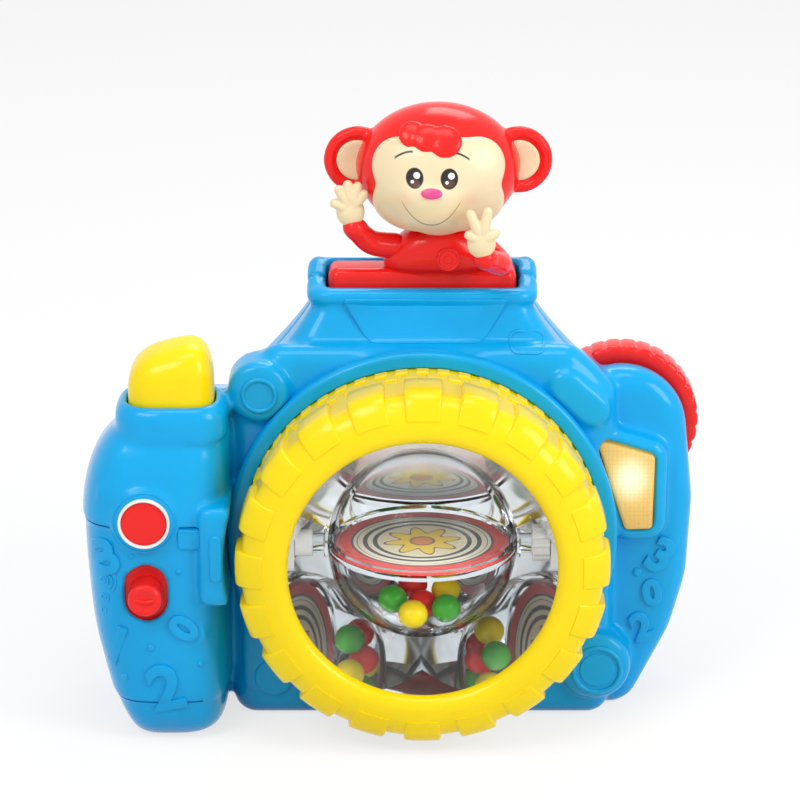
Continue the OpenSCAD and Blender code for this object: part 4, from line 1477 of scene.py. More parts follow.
    def _rim(self) -> Piece:
        """Rolled rim of the pop-up opening on a skirt, low and arched in front, with an ear at each end.

        Returns:
            The rim.
        """
        width, depth, top = self.rim
        plan = Plan.oblong(0.0, 0.0, width, depth, 6.5)
        rows = [level(plan.ring(2.9, 160), top - 11.0)]
        for draw, drop in self.rim_roll:
            rows.append([(x, y, top - drop + self._ear(x, y)) for x, y in plan.ring(draw, 160)])
        return Bench.skin("rim", rows)

    @staticmethod
    def _ear(x: float, y: float) -> float:
        """Rise of the rim's ends, and fall of its front edge towards them."""
        front = ease(-12.0, 8.0, -y)
        return 2.2 * ease(27.0, 33.0, abs(x)) * (1 - front) - front * (2.2 + 1.7 * (x / 35.0) ** 2)

    @staticmethod
    def _button_plan(grow: float) -> list[Spot]:
        """Outline of the shutter button, grown by a margin."""
        return squircle(BUTTON_HALF[0] + grow, BUTTON_HALF[1] + grow, BUTTON_POWER, 96)

    def _lip(self) -> Piece:
        """Raised lip round the shutter button."""
        return Bench.skin("lip", [level(self._button_plan(grow), self.grip_top + rise, BUTTON_AT)
                                  for grow, rise in self.lip_roll])

    def _hole(self) -> Piece:
        """Cutter of the shutter button's hole."""
        ring = self._button_plan(0.3)
        return Bench.skin("hole", [level(ring, z, BUTTON_AT) for z in (93.8, 150.0)])

    def _frame(self, grow: float) -> Plan:
        """Plan of the flash window, grown by a margin."""
        return Plan(tuple((x, z, self.flash_r + grow) for x, z in self.flash))

    def _solid(self) -> Piece:
        """Outer form of the whole case before it is split and hollowed.

        Returns:
            The solid.
        """
        solid = self._block(0.0)
        forms = [form(0.0) for form in (self._wing, self._bridge, self._grip, self._prism)]
        Bench.combine(solid, *forms, self._rim(), self._lip(), operation="UNION")
        return solid

    def _shared(self, shell: Piece, inner: Sequence[Piece]) -> None:
        """Hollow a half and cut what both halves share.

        Args:
            shell: The half.
            inner: Posts and shelves that are added once it is hollow.
        """
        forms = (self._block, self._wing, self._bridge, self._grip, self._prism)
        Bench.combine(shell, *(form(self.wall) for form in forms))
        Bench.combine(shell, *inner, operation="UNION")
        mouth = Plan.oblong(0.0, 0.0, *self.opening, 2.5).ring(0.0, 72)
        Bench.combine(shell, Bench.skin("mouth", [level(mouth, z) for z in (97.0, 160.0)]),
                      rod("dial_slot", DIAL_AT, DIAL_R + 0.6, -3.3, 7.3, 96), self._hole(),
                      *(rod("pilot", spot, 1.6, -10.0, 40.0, 20) for spot in SCREWS))

    def _front(self) -> Piece:
        """Front half with the lens boss, lobes, tab, flash frame and control recesses.

        Returns:
            The front shell.
        """
        shell = self._solid()
        forms = [rod("lens_boss", LENS_AT, self.collar_r - 0.4, self.front, self.front + 12.0, 160)]
        forms += [plan.slab(name, front, -11.0, (edge, 0.0)) for name, plan, front, edge in self.lobes]
        forms.append(self._frame(4.0).slab("flash_frame", -20.0, -7.0, (3.0, 0.0)))
        forms.append(Plan(((*BADGE_AT, 10.0),)).slab("badge_boss", -47.6, -39.0, (1.2, 0.0)))
        Bench.combine(shell, *forms, operation="UNION")
        Bench.combine(shell, box("rear_half", (-200.0, 0.0, -50.0), (200.0, 100.0, 250.0)))
        starts = [-44.0 if x < -60.0 else -20.0 for x, _ in SCREWS]
        posts = [rod("boss", spot, self.boss_r, start, 0.0, 24) for spot, start in zip(SCREWS, starts)]
        posts += [rod("post", spot, self.switch_post_r, *self.switch_y, 20) for spot in self.switch_posts]
        posts.append(box("spring_shelf", *self.spring_shelf))
        self._shared(shell, posts)
        Bench.combine(
            shell,
            rod("lens_bore", LENS_AT, self.barrel_r + 0.15, -200.0, -2.2, 160),
            rod("collar_seat", LENS_AT, self.collar_r + 0.15, -200.0, self.front, 160),
            *(plan.slab(name, -80.0, floor) for name, plan, floor in self.slider_cuts),
            self._frame(0.1).slab("flash_seat", -80.0, -13.0),
            self._frame(-1.9).slab("flash_hole", -80.0, -10.8))
        Bench.soften(shell, self.voxel, 7)
        Bench.combine(shell, *(self._seam_line(seam, step) for seam, step in self.seams))
        shell.name = "front_case"
        return Bench.shade(shell, 50.0)

    def _back(self) -> Piece:
        """Back half with the battery opening, screw wells and speaker grille.

        Returns:
            The back shell.
        """
        shell = self._solid()
        Bench.combine(shell, box("front_half", (-200.0, -100.0, -50.0), (200.0, 0.0, 250.0)))
        self._shared(shell, [rod("boss", spot, self.boss_r, 0.0, 24.0, 24) for spot in SCREWS])
        half, foot, head = self.door
        Bench.combine(shell, *(rod("well", spot, 3.3, 8.0, 60.0, 24) for spot in SCREWS),
                      box("door_hole", (-half, 0.0, foot), (half, 60.0, head)))
        Bench.soften(shell, self.voxel, 7)
        holes = [rod("grille", spot, 1.1, 15.0, 60.0, 16) for ring in range(4)
                 for spot in circle(SPEAKER_AT, ring * self.grille_step, max(ring * 6, 1))]
        Bench.combine(shell, Bench.join("grille_holes", holes))
        shell.name = "back_case"
        return Bench.shade(shell, 50.0)


@dataclass
class CaseMarks:
    """Low mouldings on the case: numerals, volume signs, panels and beads, laid on the finished shells."""

    shop: Shop
    numerals: tuple[tuple[str, float, float, float, float], ...] = (
        ("3", -94.2, 61.5, 10.0, 24.0), ("1", -91.6, 33.0, 12.0, -18.0), ("0", -71.4, 39.0, 8.6, 52.0),
        ("2", -77.2, 19.6, 14.5, 12.0), ("3", 73.0, 50.4, 10.5, -30.0), ("0", 70.6, 38.2, 7.6, 8.0),
        ("2", 67.6, 27.0, 8.6, 20.0))
    dots: tuple[Circle, ...] = (
        (-72.6, 57.0, 0.9), (-81.3, 32.6, 1.2), (-89.6, 22.6, 1.1), (66.0, 44.7, 1.5), (71.6, 57.6, 1.0),
        (-66.5, 27.0, 1.0), (-86.6, 62.0, 0.8))
    sign_x: float = -95.4
    volumes: tuple[tuple[float, int], ...] = ((53.4, 3), (48.0, 1), (43.6, 0))
    plates: tuple[tuple[str, Plan, float, float], ...] = (
        ("hump_panel", Plan((
            (-22.4, 130.4, 1.2), (24.0, 130.4, 1.2), (-13.4, 124.6, 5.6), (15.2, 124.6, 5.6))), 0.55, 0.45),
        ("tab_pill", Plan(((-61.4, 56.5, 1.9), (-61.4, 67.5, 1.9))), 0.6, 0.5),
        ("grip_pad", Plan.oblong(-69.4, 67.2, 6.4, 6.2, 0.9), 0.5, 0.4),
        ("corner_panel", Plan.oblong(-49.5, 26.0, 11.0, 34.0, 4.0), 0.7, 0.6),
        ("corner_dot", Plan(((-45.5, 13.5, 6.0),)), 1.1, 0.8),
        ("low_dot", Plan(((53.6, 17.2, 5.4),)), 0.35, 0.3))
    beads: tuple[tuple[str, Plan, int, float], ...] = (
        ("hump_stadium", Plan(((28.6, 119.6, 2.4), (34.2, 119.6, 2.4))), 48, 0.42),
        ("lobe_bead", Plan(((-48.8, 105.6, 4.9),)), 60, 0.75),
        ("low_bead", Plan(((53.6, 17.2, 7.2),)), 60, 0.8),
        ("badge_bead", Plan(((*BADGE_AT, 9.3),)), 72, 0.32))
    back_y: float = 26.0
    door: Plan = Plan.oblong(0.0, 39.9, 52.0, 58.6, 4.0)
    sinks: tuple[tuple[str, Plan, float], ...] = (
        ("grille_sink", Plan(((*SPEAKER_AT, 16.2),)), 0.6),
        ("finder_sink", Plan.oblong(0.0, 86.5, 46.0, 22.0, 5.0), 0.9),
        ("grip_sink", Plan.oblong(-79.0, 50.0, 20.0, 42.0, 6.0), 0.9))
    finder: Plan = Plan.oblong(0.0, 86.5, 38.0, 14.0, 4.0)
    rib_x: Spot = (-85.0, -73.0)

    def build(self, front: Piece, back: Piece) -> None:
        """Lay every mark."""
        for piece in (self._numerals(front), self._signs(front), self._panels(front), self._rear(back)):
            self.shop.deliver(piece, "gloss_blue", Body.CASE)

    def _numerals(self, front: Piece) -> Piece:
        """Plain numerals strewn over the grip and the wing.

        Args:
            front: Shell that they are laid on.

        Returns:
            The numerals as one piece.
        """
        pieces = []
        for sign, x, z, height, turn in self.numerals:
            obj = Bench.numeral(f"numeral_{sign}", sign, height, 1.2, 0.42)
            spin = Matrix.Rotation(radians(-turn), 4, "Y")
            obj.data.transform(Matrix.Translation(Vector((x, 0.0, z)) * MM) @ spin)
            Bench.lay_on(obj, front)
            pieces.append(Bench.shade(obj, 50.0))
        return Bench.join("case_numerals", pieces)

    def _signs(self, front: Piece) -> Piece:
        """Volume signs beside the slider, from loud to off, and small studs.

        Args:
            front: Shell that they are laid on.

        Returns:
            The signs as one piece.
        """
        pieces = []
        for z, arcs in self.volumes:
            middle = (self.sign_x, z)
            for k in range(arcs):
                reach = 1.6 + 1.2 * k
                bow = upright(arc(middle, (reach, reach), -42.0, 42.0, 4), -0.05)
                pieces.append(Bench.limb("sound_arc", bow, [0.34] * len(bow), 10, 3))
            pieces.append(hoop("sound_ring", circle(middle, 0.75, 20), 0.3))
        pieces += [Bench.ball("stud", (x, 0.0, z), (r, 0.7, r), 20) for x, z, r in self.dots]
        for obj in pieces:
            Bench.lay_on(obj, front)
            Bench.shade(obj, 80.0)
        return Bench.join("case_signs", pieces)

    def _panels(self, front: Piece) -> Piece:
        """Raised panels and beads on the hump, lobes, tab, grip and lower corner.

        Args:
            front: Shell that they are laid on.

        Returns:
            The panels as one piece.
        """
        pieces = [plate(name, plan, rise, edge, front) for name, plan, rise, edge in self.plates]
        pieces += [hoop(name, plan.ring(0.0, count), tube, front) for name, plan, count, tube in self.beads]
        return Bench.join("case_panels", pieces)

    def _rear(self, back: Piece) -> Piece:
        """Cut a groove and sunk panels into the back, and build the panels that lie in them.

        Args:
            back: Finished back shell.

        Returns:
            The panels as one piece.
        """
        y = self.back_y
        Bench.combine(back, hoop("groove", self.door.ring(), 0.6, back, False),
                      *(plan.slab(name, y - sunk, y + 2.0) for name, plan, sunk in self.sinks))
        Bench.shade(back, 40.0)
        panels = [("finder", self.finder)]
        for k in range(5):
            panels.append(("rear_rib", Plan(tuple((x, 36.0 + 7.0 * k, 1.5) for x in self.rib_x))))
        pieces = [Bench.shade(plan.slab(name, y - 1.2, y - 0.1, (0.2, 0.5)), 40.0) for name, plan in panels]
        return Bench.join("rear_mouldings", pieces)


@dataclass
class LensGroup:
    """Yellow ring with lugs, and the blue collar that holds it."""

    shop: Shop
    centre: Point = (LENS_AT[0], 0.0, LENS_AT[1])
    ring_r: float = 54.0
    hole_r: float = 40.0
    bore_r: float = 46.9
    back: float = 22.3
    front: float = 56.0
    lip: float = 52.0
    shoulder: Spot = (10.0, 7.0)
    lugs: int = 20
    lug_half: float = 6.0
    lug_end: float = 0.9
    lug_rise: float = 1.8
    lug_back: float = 38.6
    lug_angles: tuple[float, ...] = (0.0, 9.0, 18.0, 27.0, 36.0, 45.0, 54.0, 62.0, 70.0)
    squares: int = 54
    square_rows: Spot = (28.6, 34.0)
    square_steps: tuple[Spot, ...] = ((1.95, -0.8), (1.95, 0.25), (1.6, 0.55))
    collar_y: Spot = (22.0, 26.4)
    collar_r: float = 59.0
    collar_seat: float = 55.6
    collar_hold: float = 54.3
    collar_edge: float = 1.6

    def build(self) -> None:
        """Build the ring and the collar."""
        self.shop.deliver(self._ring(), "gloss_yellow", Body.RING, "lens_ring")
        self.shop.deliver(self._collar(), "gloss_blue", Body.CASE, "ring_collar")

    def _ring(self) -> Piece:
        """Ring with a rounded shoulder, lugs on it and two rows of small squares behind them.

        Returns:
            The ring.
        """
        r, h, b, f = self.ring_r, self.hole_r, self.back, self.front
        s, d = self.shoulder
        profile = [(self.bore_r, b), (r + 0.9, b), (r + 1.3, b + 0.4), (r + 1.3, b + 1.6),
                   (r + 0.9, b + 2.0), (r, b + 2.1)]
        profile += arc((r - s, f - d), (s, d), 0.0, 90.0, 12)
        profile += [(h + 2.8, f - 0.1), (h + 1.6, f - 0.5), (h + 0.8, f - 1.2), (h + 0.2, f - 2.0),
                    (h, f - 2.8), (h, self.lip + 0.3), (h + 0.4, self.lip), (self.bore_r, self.lip)]
        pieces = [Bench.shade(Bench.turned("ring_body", profile, 240, self.centre), 35.0)]
        lug, square = self._lug(), self._square()
        pieces += [Bench.copy(lug, self._turn(k / self.lugs), "lug") for k in range(self.lugs)]
        for row, ahead in enumerate(self.square_rows):
            shift = Matrix.Translation((0.0, -ahead * MM, 0.0))
            turns = [self._turn((k + 0.5 * row) / self.squares) for k in range(self.squares)]
            pieces += [Bench.copy(square, turn @ shift, "square") for turn in turns]
        bpy.data.objects.remove(lug)
        bpy.data.objects.remove(square)
        return Bench.join("ring_tread", pieces)

    def _turn(self, share: float) -> Matrix:
        """Share of a full turn about the lens axis, in metres."""
        spot = Matrix.Translation(Vector(self.centre) * MM)
        return spot @ Matrix.Rotation(2 * pi * share, 4, "Y") @ spot.inverted()

    def _lug(self) -> Piece:
        """One lug at the top of the ring, with rounded ends.

        Returns:
            The lug.
        """
        rows: list[Ring] = []
        r, span, back = self.ring_r, self.lug_half, self.lug_back
        s, d = self.shoulder
        ends = [span, span - 0.12, span - 0.4, span - self.lug_end, 2.0]
        for degrees in [-end for end in ends] + ends[::-1]:
            gone = max(abs(degrees) - (span - self.lug_end), 0.0) / self.lug_end
            rise = self.lug_rise * (sqrt(max(1 - gone * gone, 0.0)) * 0.95 + 0.05)
            top = r + rise
            section = [(r - 2.5, back), (r, back), (top - 0.7, back + 0.3), (top, 40.0), (top, 44.0)]
            for angle in self.lug_angles:
                lift = rise * (1 - 0.72 * ease(8.0, 66.0, angle))
                out, ahead = cos(radians(angle)), sin(radians(angle))
                section.append((r - s + (s + lift) * out, self.front - d + (d + 0.6 * lift) * ahead))
            section += [(r - 7.5, 53.0), (r - 6.0, 49.0)]
            turn = radians(degrees)
            rows.append([(reach * sin(turn), -ahead, self.centre[2] + reach * cos(turn))
                         for reach, ahead in section])
        return Bench.shade(Bench.skin("lug", rows), 50.0)

    def _square(self) -> Piece:
        """One small raised square at the top of the ring, at the split line.

        Returns:
            The square.
        """
        corners = ((-1, -1), (1, -1), (1, 1), (-1, 1))
        rows = [level([(x * half, y * half) for x, y in corners], self.centre[2] + self.ring_r + rise)
                for half, rise in self.square_steps]
        return Bench.shade(Bench.skin("square", rows), 20.0)

    def _collar(self) -> Piece:
        """Collar with rounded edges that holds the ring's flange.

        Returns:
            The collar.
        """
        foot, top = self.collar_y
        seat, hold, edge = self.collar_seat, self.collar_hold, self.collar_edge
        profile = [(seat, foot), (self.collar_r, foot)]
        profile += arc((self.collar_r - edge, top - edge), (edge, edge), 0.0, 90.0, 6)
        profile += [(hold + 0.4, top), (hold, top - 0.4), (hold, top - 1.8), (seat, top - 1.8)]
        return Bench.shade(Bench.turned("lens_collar", profile, 200, self.centre), 35.0)


@dataclass
class BeadBall:
    """Clear ball on level stub axles, with a printed disc and six beads."""

    shop: Shop
    outer: float = 28.5
    bore: float = 26.9
    seam: float = 0.09
    axle_r: float = 3.0
    axle_x: Spot = (28.52, 44.0)
    disc_t: float = 1.2
    bead_r: float = 4.5
    bead_tilt: float = 12.0
    beads: tuple[tuple[str, str, tuple[int, int]], ...] = (
        ("beads_yellow", "gloss_yellow", (1, 3)), ("beads_red", "gloss_red", (0, 4)),
        ("beads_green", "gloss_green", (2, 5)))

    def build(self) -> None:
        """Build the ball, the disc and the beads."""
        lower = Bench.join("ball_under", [self._half(-1.0), self._axle(-1.0), self._axle(1.0)])
        self.shop.deliver(lower, "clear_styrene", Body.BALL, "ball_lower")
        self.shop.deliver(self._half(1.0), "clear_styrene", Body.BALL, "ball_upper")
        self.shop.deliver(self._disc(), "disc_print", Body.BALL, "ball_disc")
        for node, finish, which in self.beads:
            beads = Bench.join(f"{node}_moulded", [self._bead(k) for k in which])
            self.shop.deliver(beads, finish, Body.BALL, node)

    def _half(self, up: float) -> Piece:
        """Half of the ball with a rounded seam edge and the ledge that holds the disc.

        Args:
            up: 1 for the upper half, -1 for the lower.

        Returns:
            The half.
        """
        r, bore, shelf = self.outer, self.bore, self.disc_t / 2
        outside = [(0.02, r), *arc((0.0, 0.0), (r, r), 89.0, 1.0, 44), (r - 0.05, 0.35),
                   (r - 0.2, self.seam)]
        ledge = [(bore + 0.05, self.seam), (bore + 0.05, shelf + 0.06), (bore - 1.7, shelf + 0.06),
                 (bore - 1.7, shelf + 1.2), (bore - 0.25, shelf + 1.8)]
        inside = [spot for spot in arc((0.0, 0.0), (bore, bore), 1.0, 89.0, 44) if spot[1] > 3.4]
        profile = [*outside, *ledge, *inside, (0.02, bore)]
        half = Bench.turned("ball_half" if up < 0 else "ball_over", profile, 144, BALL_AT, (0.0, 0.0, up))
        return Bench.shade(half, 35.0)

    def _axle(self, side: float) -> Piece:
        """Stub axle with a rounded end and a thin washer at the ball.

        Args:
            side: 1 for the right, -1 for the left.

        Returns:
            The axle.
        """
        r = self.axle_r
        root, end = self.axle_x
        profile = [(0.01, root), (r + 1.4, root), (r + 1.4, 29.3), (r + 1.1, 29.6), (r, 29.7),
                   (r, end - 0.5), (r - 0.5, end), (0.01, end)]
        return Bench.shade(Bench.turned("stub_axle", profile, 48, BALL_AT, (side, 0.0, 0.0)), 35.0)

    def _disc(self) -> Piece:
        """Card disc with a pressed rim.

        Returns:
            The disc.
        """
        r, half, low = self.bore - 0.05, self.disc_t / 2, self.disc_t / 2 - 0.08
        over = [(0.01, low), (23.0, low), (23.5, half), (r - 0.2, half), (r, half - 0.2)]
        profile = over + [(x, -z) for x, z in reversed(over)]
        return Bench.shade(Bench.turned("print_disc", profile, 128, BALL_AT, (0.0, 0.0, 1.0)), 30.0)

    def _bead(self, number: int) -> Piece:
        """Bead of the cluster in the ball, with a faint parting line.

        Args:
            number: 0 for the bead at the bottom, 1 to 5 for those round it.

        Returns:
            The bead.
        """
        orbit = self.bore - self.bead_r - 0.05
        spread = 0.0 if number == 0 else 2 * asin((2 * self.bead_r + 0.3) / (2 * orbit))
        way = Vector((0.0, 0.0, -orbit))
        turns = ((spread, "Y"), (radians(72.0 * number), "Z"), (radians(self.bead_tilt), "X"))
        for turn, axis in turns:
            way = Matrix.Rotation(turn, 3, axis) @ way
        steps = 24
        profile = []
        for k in range(steps + 1):
            turn = pi * k / steps
            size = self.bead_r - (0.09 if k == steps // 2 else 0.0)
            profile.append((max(size * sin(turn), 0.01), size * cos(turn)))
        spot = tuple(Vector(BALL_AT) + way)
        return Bench.shade(Bench.turned("bead", profile, 40, spot, (0.3 + number, 0.4, 1.0)), 60.0)


@dataclass
class Controls:
    """Dial, slider, badge, flash window, shutter button and the spring under it."""

    shop: Shop
    dial_y: Spot = (-3.0, 7.0)
    dial_bore: float = 3.05
    dial_dish: tuple[Spot, ...] = ((0.9, 11.0), (0.9, 6.4), (0.5, 5.6), (0.0, 4.8))
    dial_edge: tuple[Point, ...] = (
        (0.0, 2.2, 0.2), (0.12, 1.3, 0.6), (0.45, 0.5, 0.9), (1.0, 0.1, 1.0), (1.4, 0.0, 1.0))
    teeth: int = 30
    tooth: float = 0.55
    slider_at: Spot = (-82.5, 50.0)
    badge_rim: tuple[Spot, ...] = (
        (6.85, 47.65), (7.7, 47.65), (7.7, 48.75), (7.55, 49.05), (7.3, 49.15), (7.05, 49.05), (6.85, 48.7))
    badge_r: float = 6.8
    badge_y: Point = (47.65, 48.15, 48.85)
    window: Plan = Plan(((54.7, 87.5, 1.5), (68.8, 83.3, 1.5), (68.4, 62.6, 1.5), (62.7, 62.4, 1.5)))
    window_y: Spot = (-21.0, -13.0)
    window_edge: float = 1.1
    button_z: Point = (92.2, 107.0, 122.6)
    button_slope: Spot = (0.26, 0.1)
    button_round: float = 0.64
    spring_at: Spot = (-74.8, -35.0)
    spring_z: Spot = (76.8, 91.4)
    spring_r: float = 4.0
    wire_r: float = 0.5
    coils: int = 5
    press: float = 6.0

    def build(self) -> None:
        """Build every control."""
        pieces = ((self._dial(), "gloss_red", Body.DIAL, "dial_wheel"),
                  (self._slider(), "gloss_red", Body.SLIDER, "slider_knob"),
                  (self._badge("badge_ring", self.badge_rim), "satin_white", Body.CASE, "badge_rim"),
                  (self._badge("badge_dome", self._dome()), "gloss_red", Body.CASE, "badge_disc"),
                  (self._window(), "flash_glow", Body.CASE, "flash_lens"),
                  (self._button(), "gloss_yellow", Body.SHUTTER, "shutter_button"))
        for piece in pieces:
            self.shop.deliver(*piece)
        spring = self.shop.deliver(self._spring(), "plated_steel", Body.CASE, "button_spring")
        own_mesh(spring)

    def _dial(self) -> Piece:
        """Thumb wheel with rounded teeth, a dished face and a bore.

        Returns:
            The wheel.
        """
        front, back = self.dial_y
        rows = [self._dial_ring(front + sunk, inset, 0.0) for sunk, inset in self.dial_dish]
        rows += [self._dial_ring(front + sunk, inset, share) for sunk, inset, share in self.dial_edge]
        rows += [self._dial_ring(back - sunk, inset, share) for sunk, inset, share in self.dial_edge[::-1]]
        rows.append(self._dial_ring(back, self.dial_dish[0][1], 0.0))
        wheel = Bench.skin("thumb_wheel", rows)
        Bench.combine(wheel, rod("dial_bore", DIAL_AT, self.dial_bore, front - 1.0, back + 1.0, 48))
        return Bench.shade(wheel, 40.0)

    def _dial_ring(self, y: float, inset: float, share: float) -> Ring:
        """Ring of points round the wheel.

        Args:
            y: Its place along the axle.
            inset: Distance that it is drawn in.
            share: Share of the teeth's depth that it shows.

        Returns:
            The ring.
        """
        count = self.teeth * 12
        ring = []
        for k in range(count):
            turn = 2 * pi * k / count
            notch = self.tooth * share * (0.5 - 0.5 * cos(turn * self.teeth)) ** 6
            r = DIAL_R - inset - notch
            ring.append((DIAL_AT[0] + r * cos(turn), y, DIAL_AT[1] + r * sin(turn)))
        return ring

    def _slider(self) -> Piece:
        """Slide plate with a round knob that has a dished front and a thumb bar.

        Returns:
            The slider.
        """
        x, z = self.slider_at
        profile = [(0.01, 43.0), (5.0, 43.0), (5.0, 50.6), *arc((3.6, 51.2), (1.4, 1.4), 0.0, 90.0, 6),
                   (3.2, 52.45), (2.6, 52.0), (1.4, 51.7), (0.01, 51.6)]
        bar = [(x - 2.9, -51.7, z), (x, -51.75, z - 0.5), (x + 2.9, -51.7, z)]
        pieces = [Plan.oblong(x, z, 14.6, 25.6, 1.5).slab("slide_plate", -43.6, -42.1, (0.3, 0.2)),
                  Bench.turned("slide_knob", profile, 64, (x, 0.0, z)),
                  Bench.limb("thumb_bar", bar, [0.62, 0.72, 0.62], 16, 5),
                  Plan(((x, z, 2.4),)).slab("slide_neck", -43.2, -42.1)]
        return Bench.join("slide_control", [Bench.shade(piece, 40.0) for piece in pieces])

    def _dome(self) -> list[Spot]:
        """Profile of the bare domed badge.

        Returns:
            Its points.
        """
        foot, edge, top = self.badge_y
        crown = arc((0.0, edge), (self.badge_r, top - edge), 9.0, 81.0, 8)
        return [(0.01, foot), (self.badge_r, foot), (self.badge_r, edge), *crown, (0.01, top)]

    @staticmethod
    def _badge(name: str, profile: Sequence[Spot]) -> Piece:
        """Turned piece of the badge."""
        return Bench.shade(Bench.turned(name, profile, 96, (BADGE_AT[0], 0.0, BADGE_AT[1])), 45.0)

    def _window(self) -> Piece:
        """Flash window with rounded corners and a rounded front edge."""
        return Bench.shade(self.window.slab("flash_window", *self.window_y, (self.window_edge, 0.0)), 35.0)

    def _spring(self) -> Piece:
        """Coil spring under the button, with level end coils.

        Returns:
            The spring.
        """
        low, high = self.spring_z
        steps = 24 * self.coils
        path = []
        for k in range(steps + 1):
            turn = 2 * pi * self.coils * k / steps
            share = min(max((k / steps - 0.1) / 0.8, 0.0), 1.0)
            path.append((self.spring_at[0] + self.spring_r * cos(turn),
                         self.spring_at[1] + self.spring_r * sin(turn), low + (high - low) * share))
        return Bench.shade(Bench.limb("coil_spring", path, [self.wire_r] * len(path), 10, 1), 60.0)

    def _button(self) -> Piece:
        """Shutter button with a rounded top that rises to the right, tabs and a stem.

        Returns:
            The button.
        """
        x0, y0 = BUTTON_AT
        foot, base, top = self.button_z
        lean_x, lean_y = self.button_slope
        plan = squircle(*BUTTON_HALF, BUTTON_POWER, 96)
        rows = [level(plan, z, BUTTON_AT) for z in (foot, foot + 6.0, base - 3.0)]
        steps = 24
        for k in range(1, steps + 1):
            turn = pi / 2 * k / steps
            share = max(cos(turn), 0.001) ** self.button_round
            rise = sin(turn) ** self.button_round
            rows.append([(x0 + x * share, y0 + y * share,
                          base + (top - base + (lean_x * x + lean_y * y) * share) * rise) for x, y in plan])
        pieces = [Bench.shade(Bench.skin("button_cap", rows), 50.0)]
        for name, low, high in (("button_tab_side", (-88.8, -33.0, foot), (-84.8, -23.0, foot + 3.2)),
                                ("button_tab_rear", (-79.8, -19.8, foot), (-69.8, -15.8, foot + 3.2)),
                                ("button_stem", (-78.3, -27.0, 88.8), (-71.3, -20.0, foot + 0.5))):
            pieces.append(Bench.shade(Bench.round_edges(box(name, low, high), 0.35, 2), 40.0))
        return Bench.join("release_button", pieces)


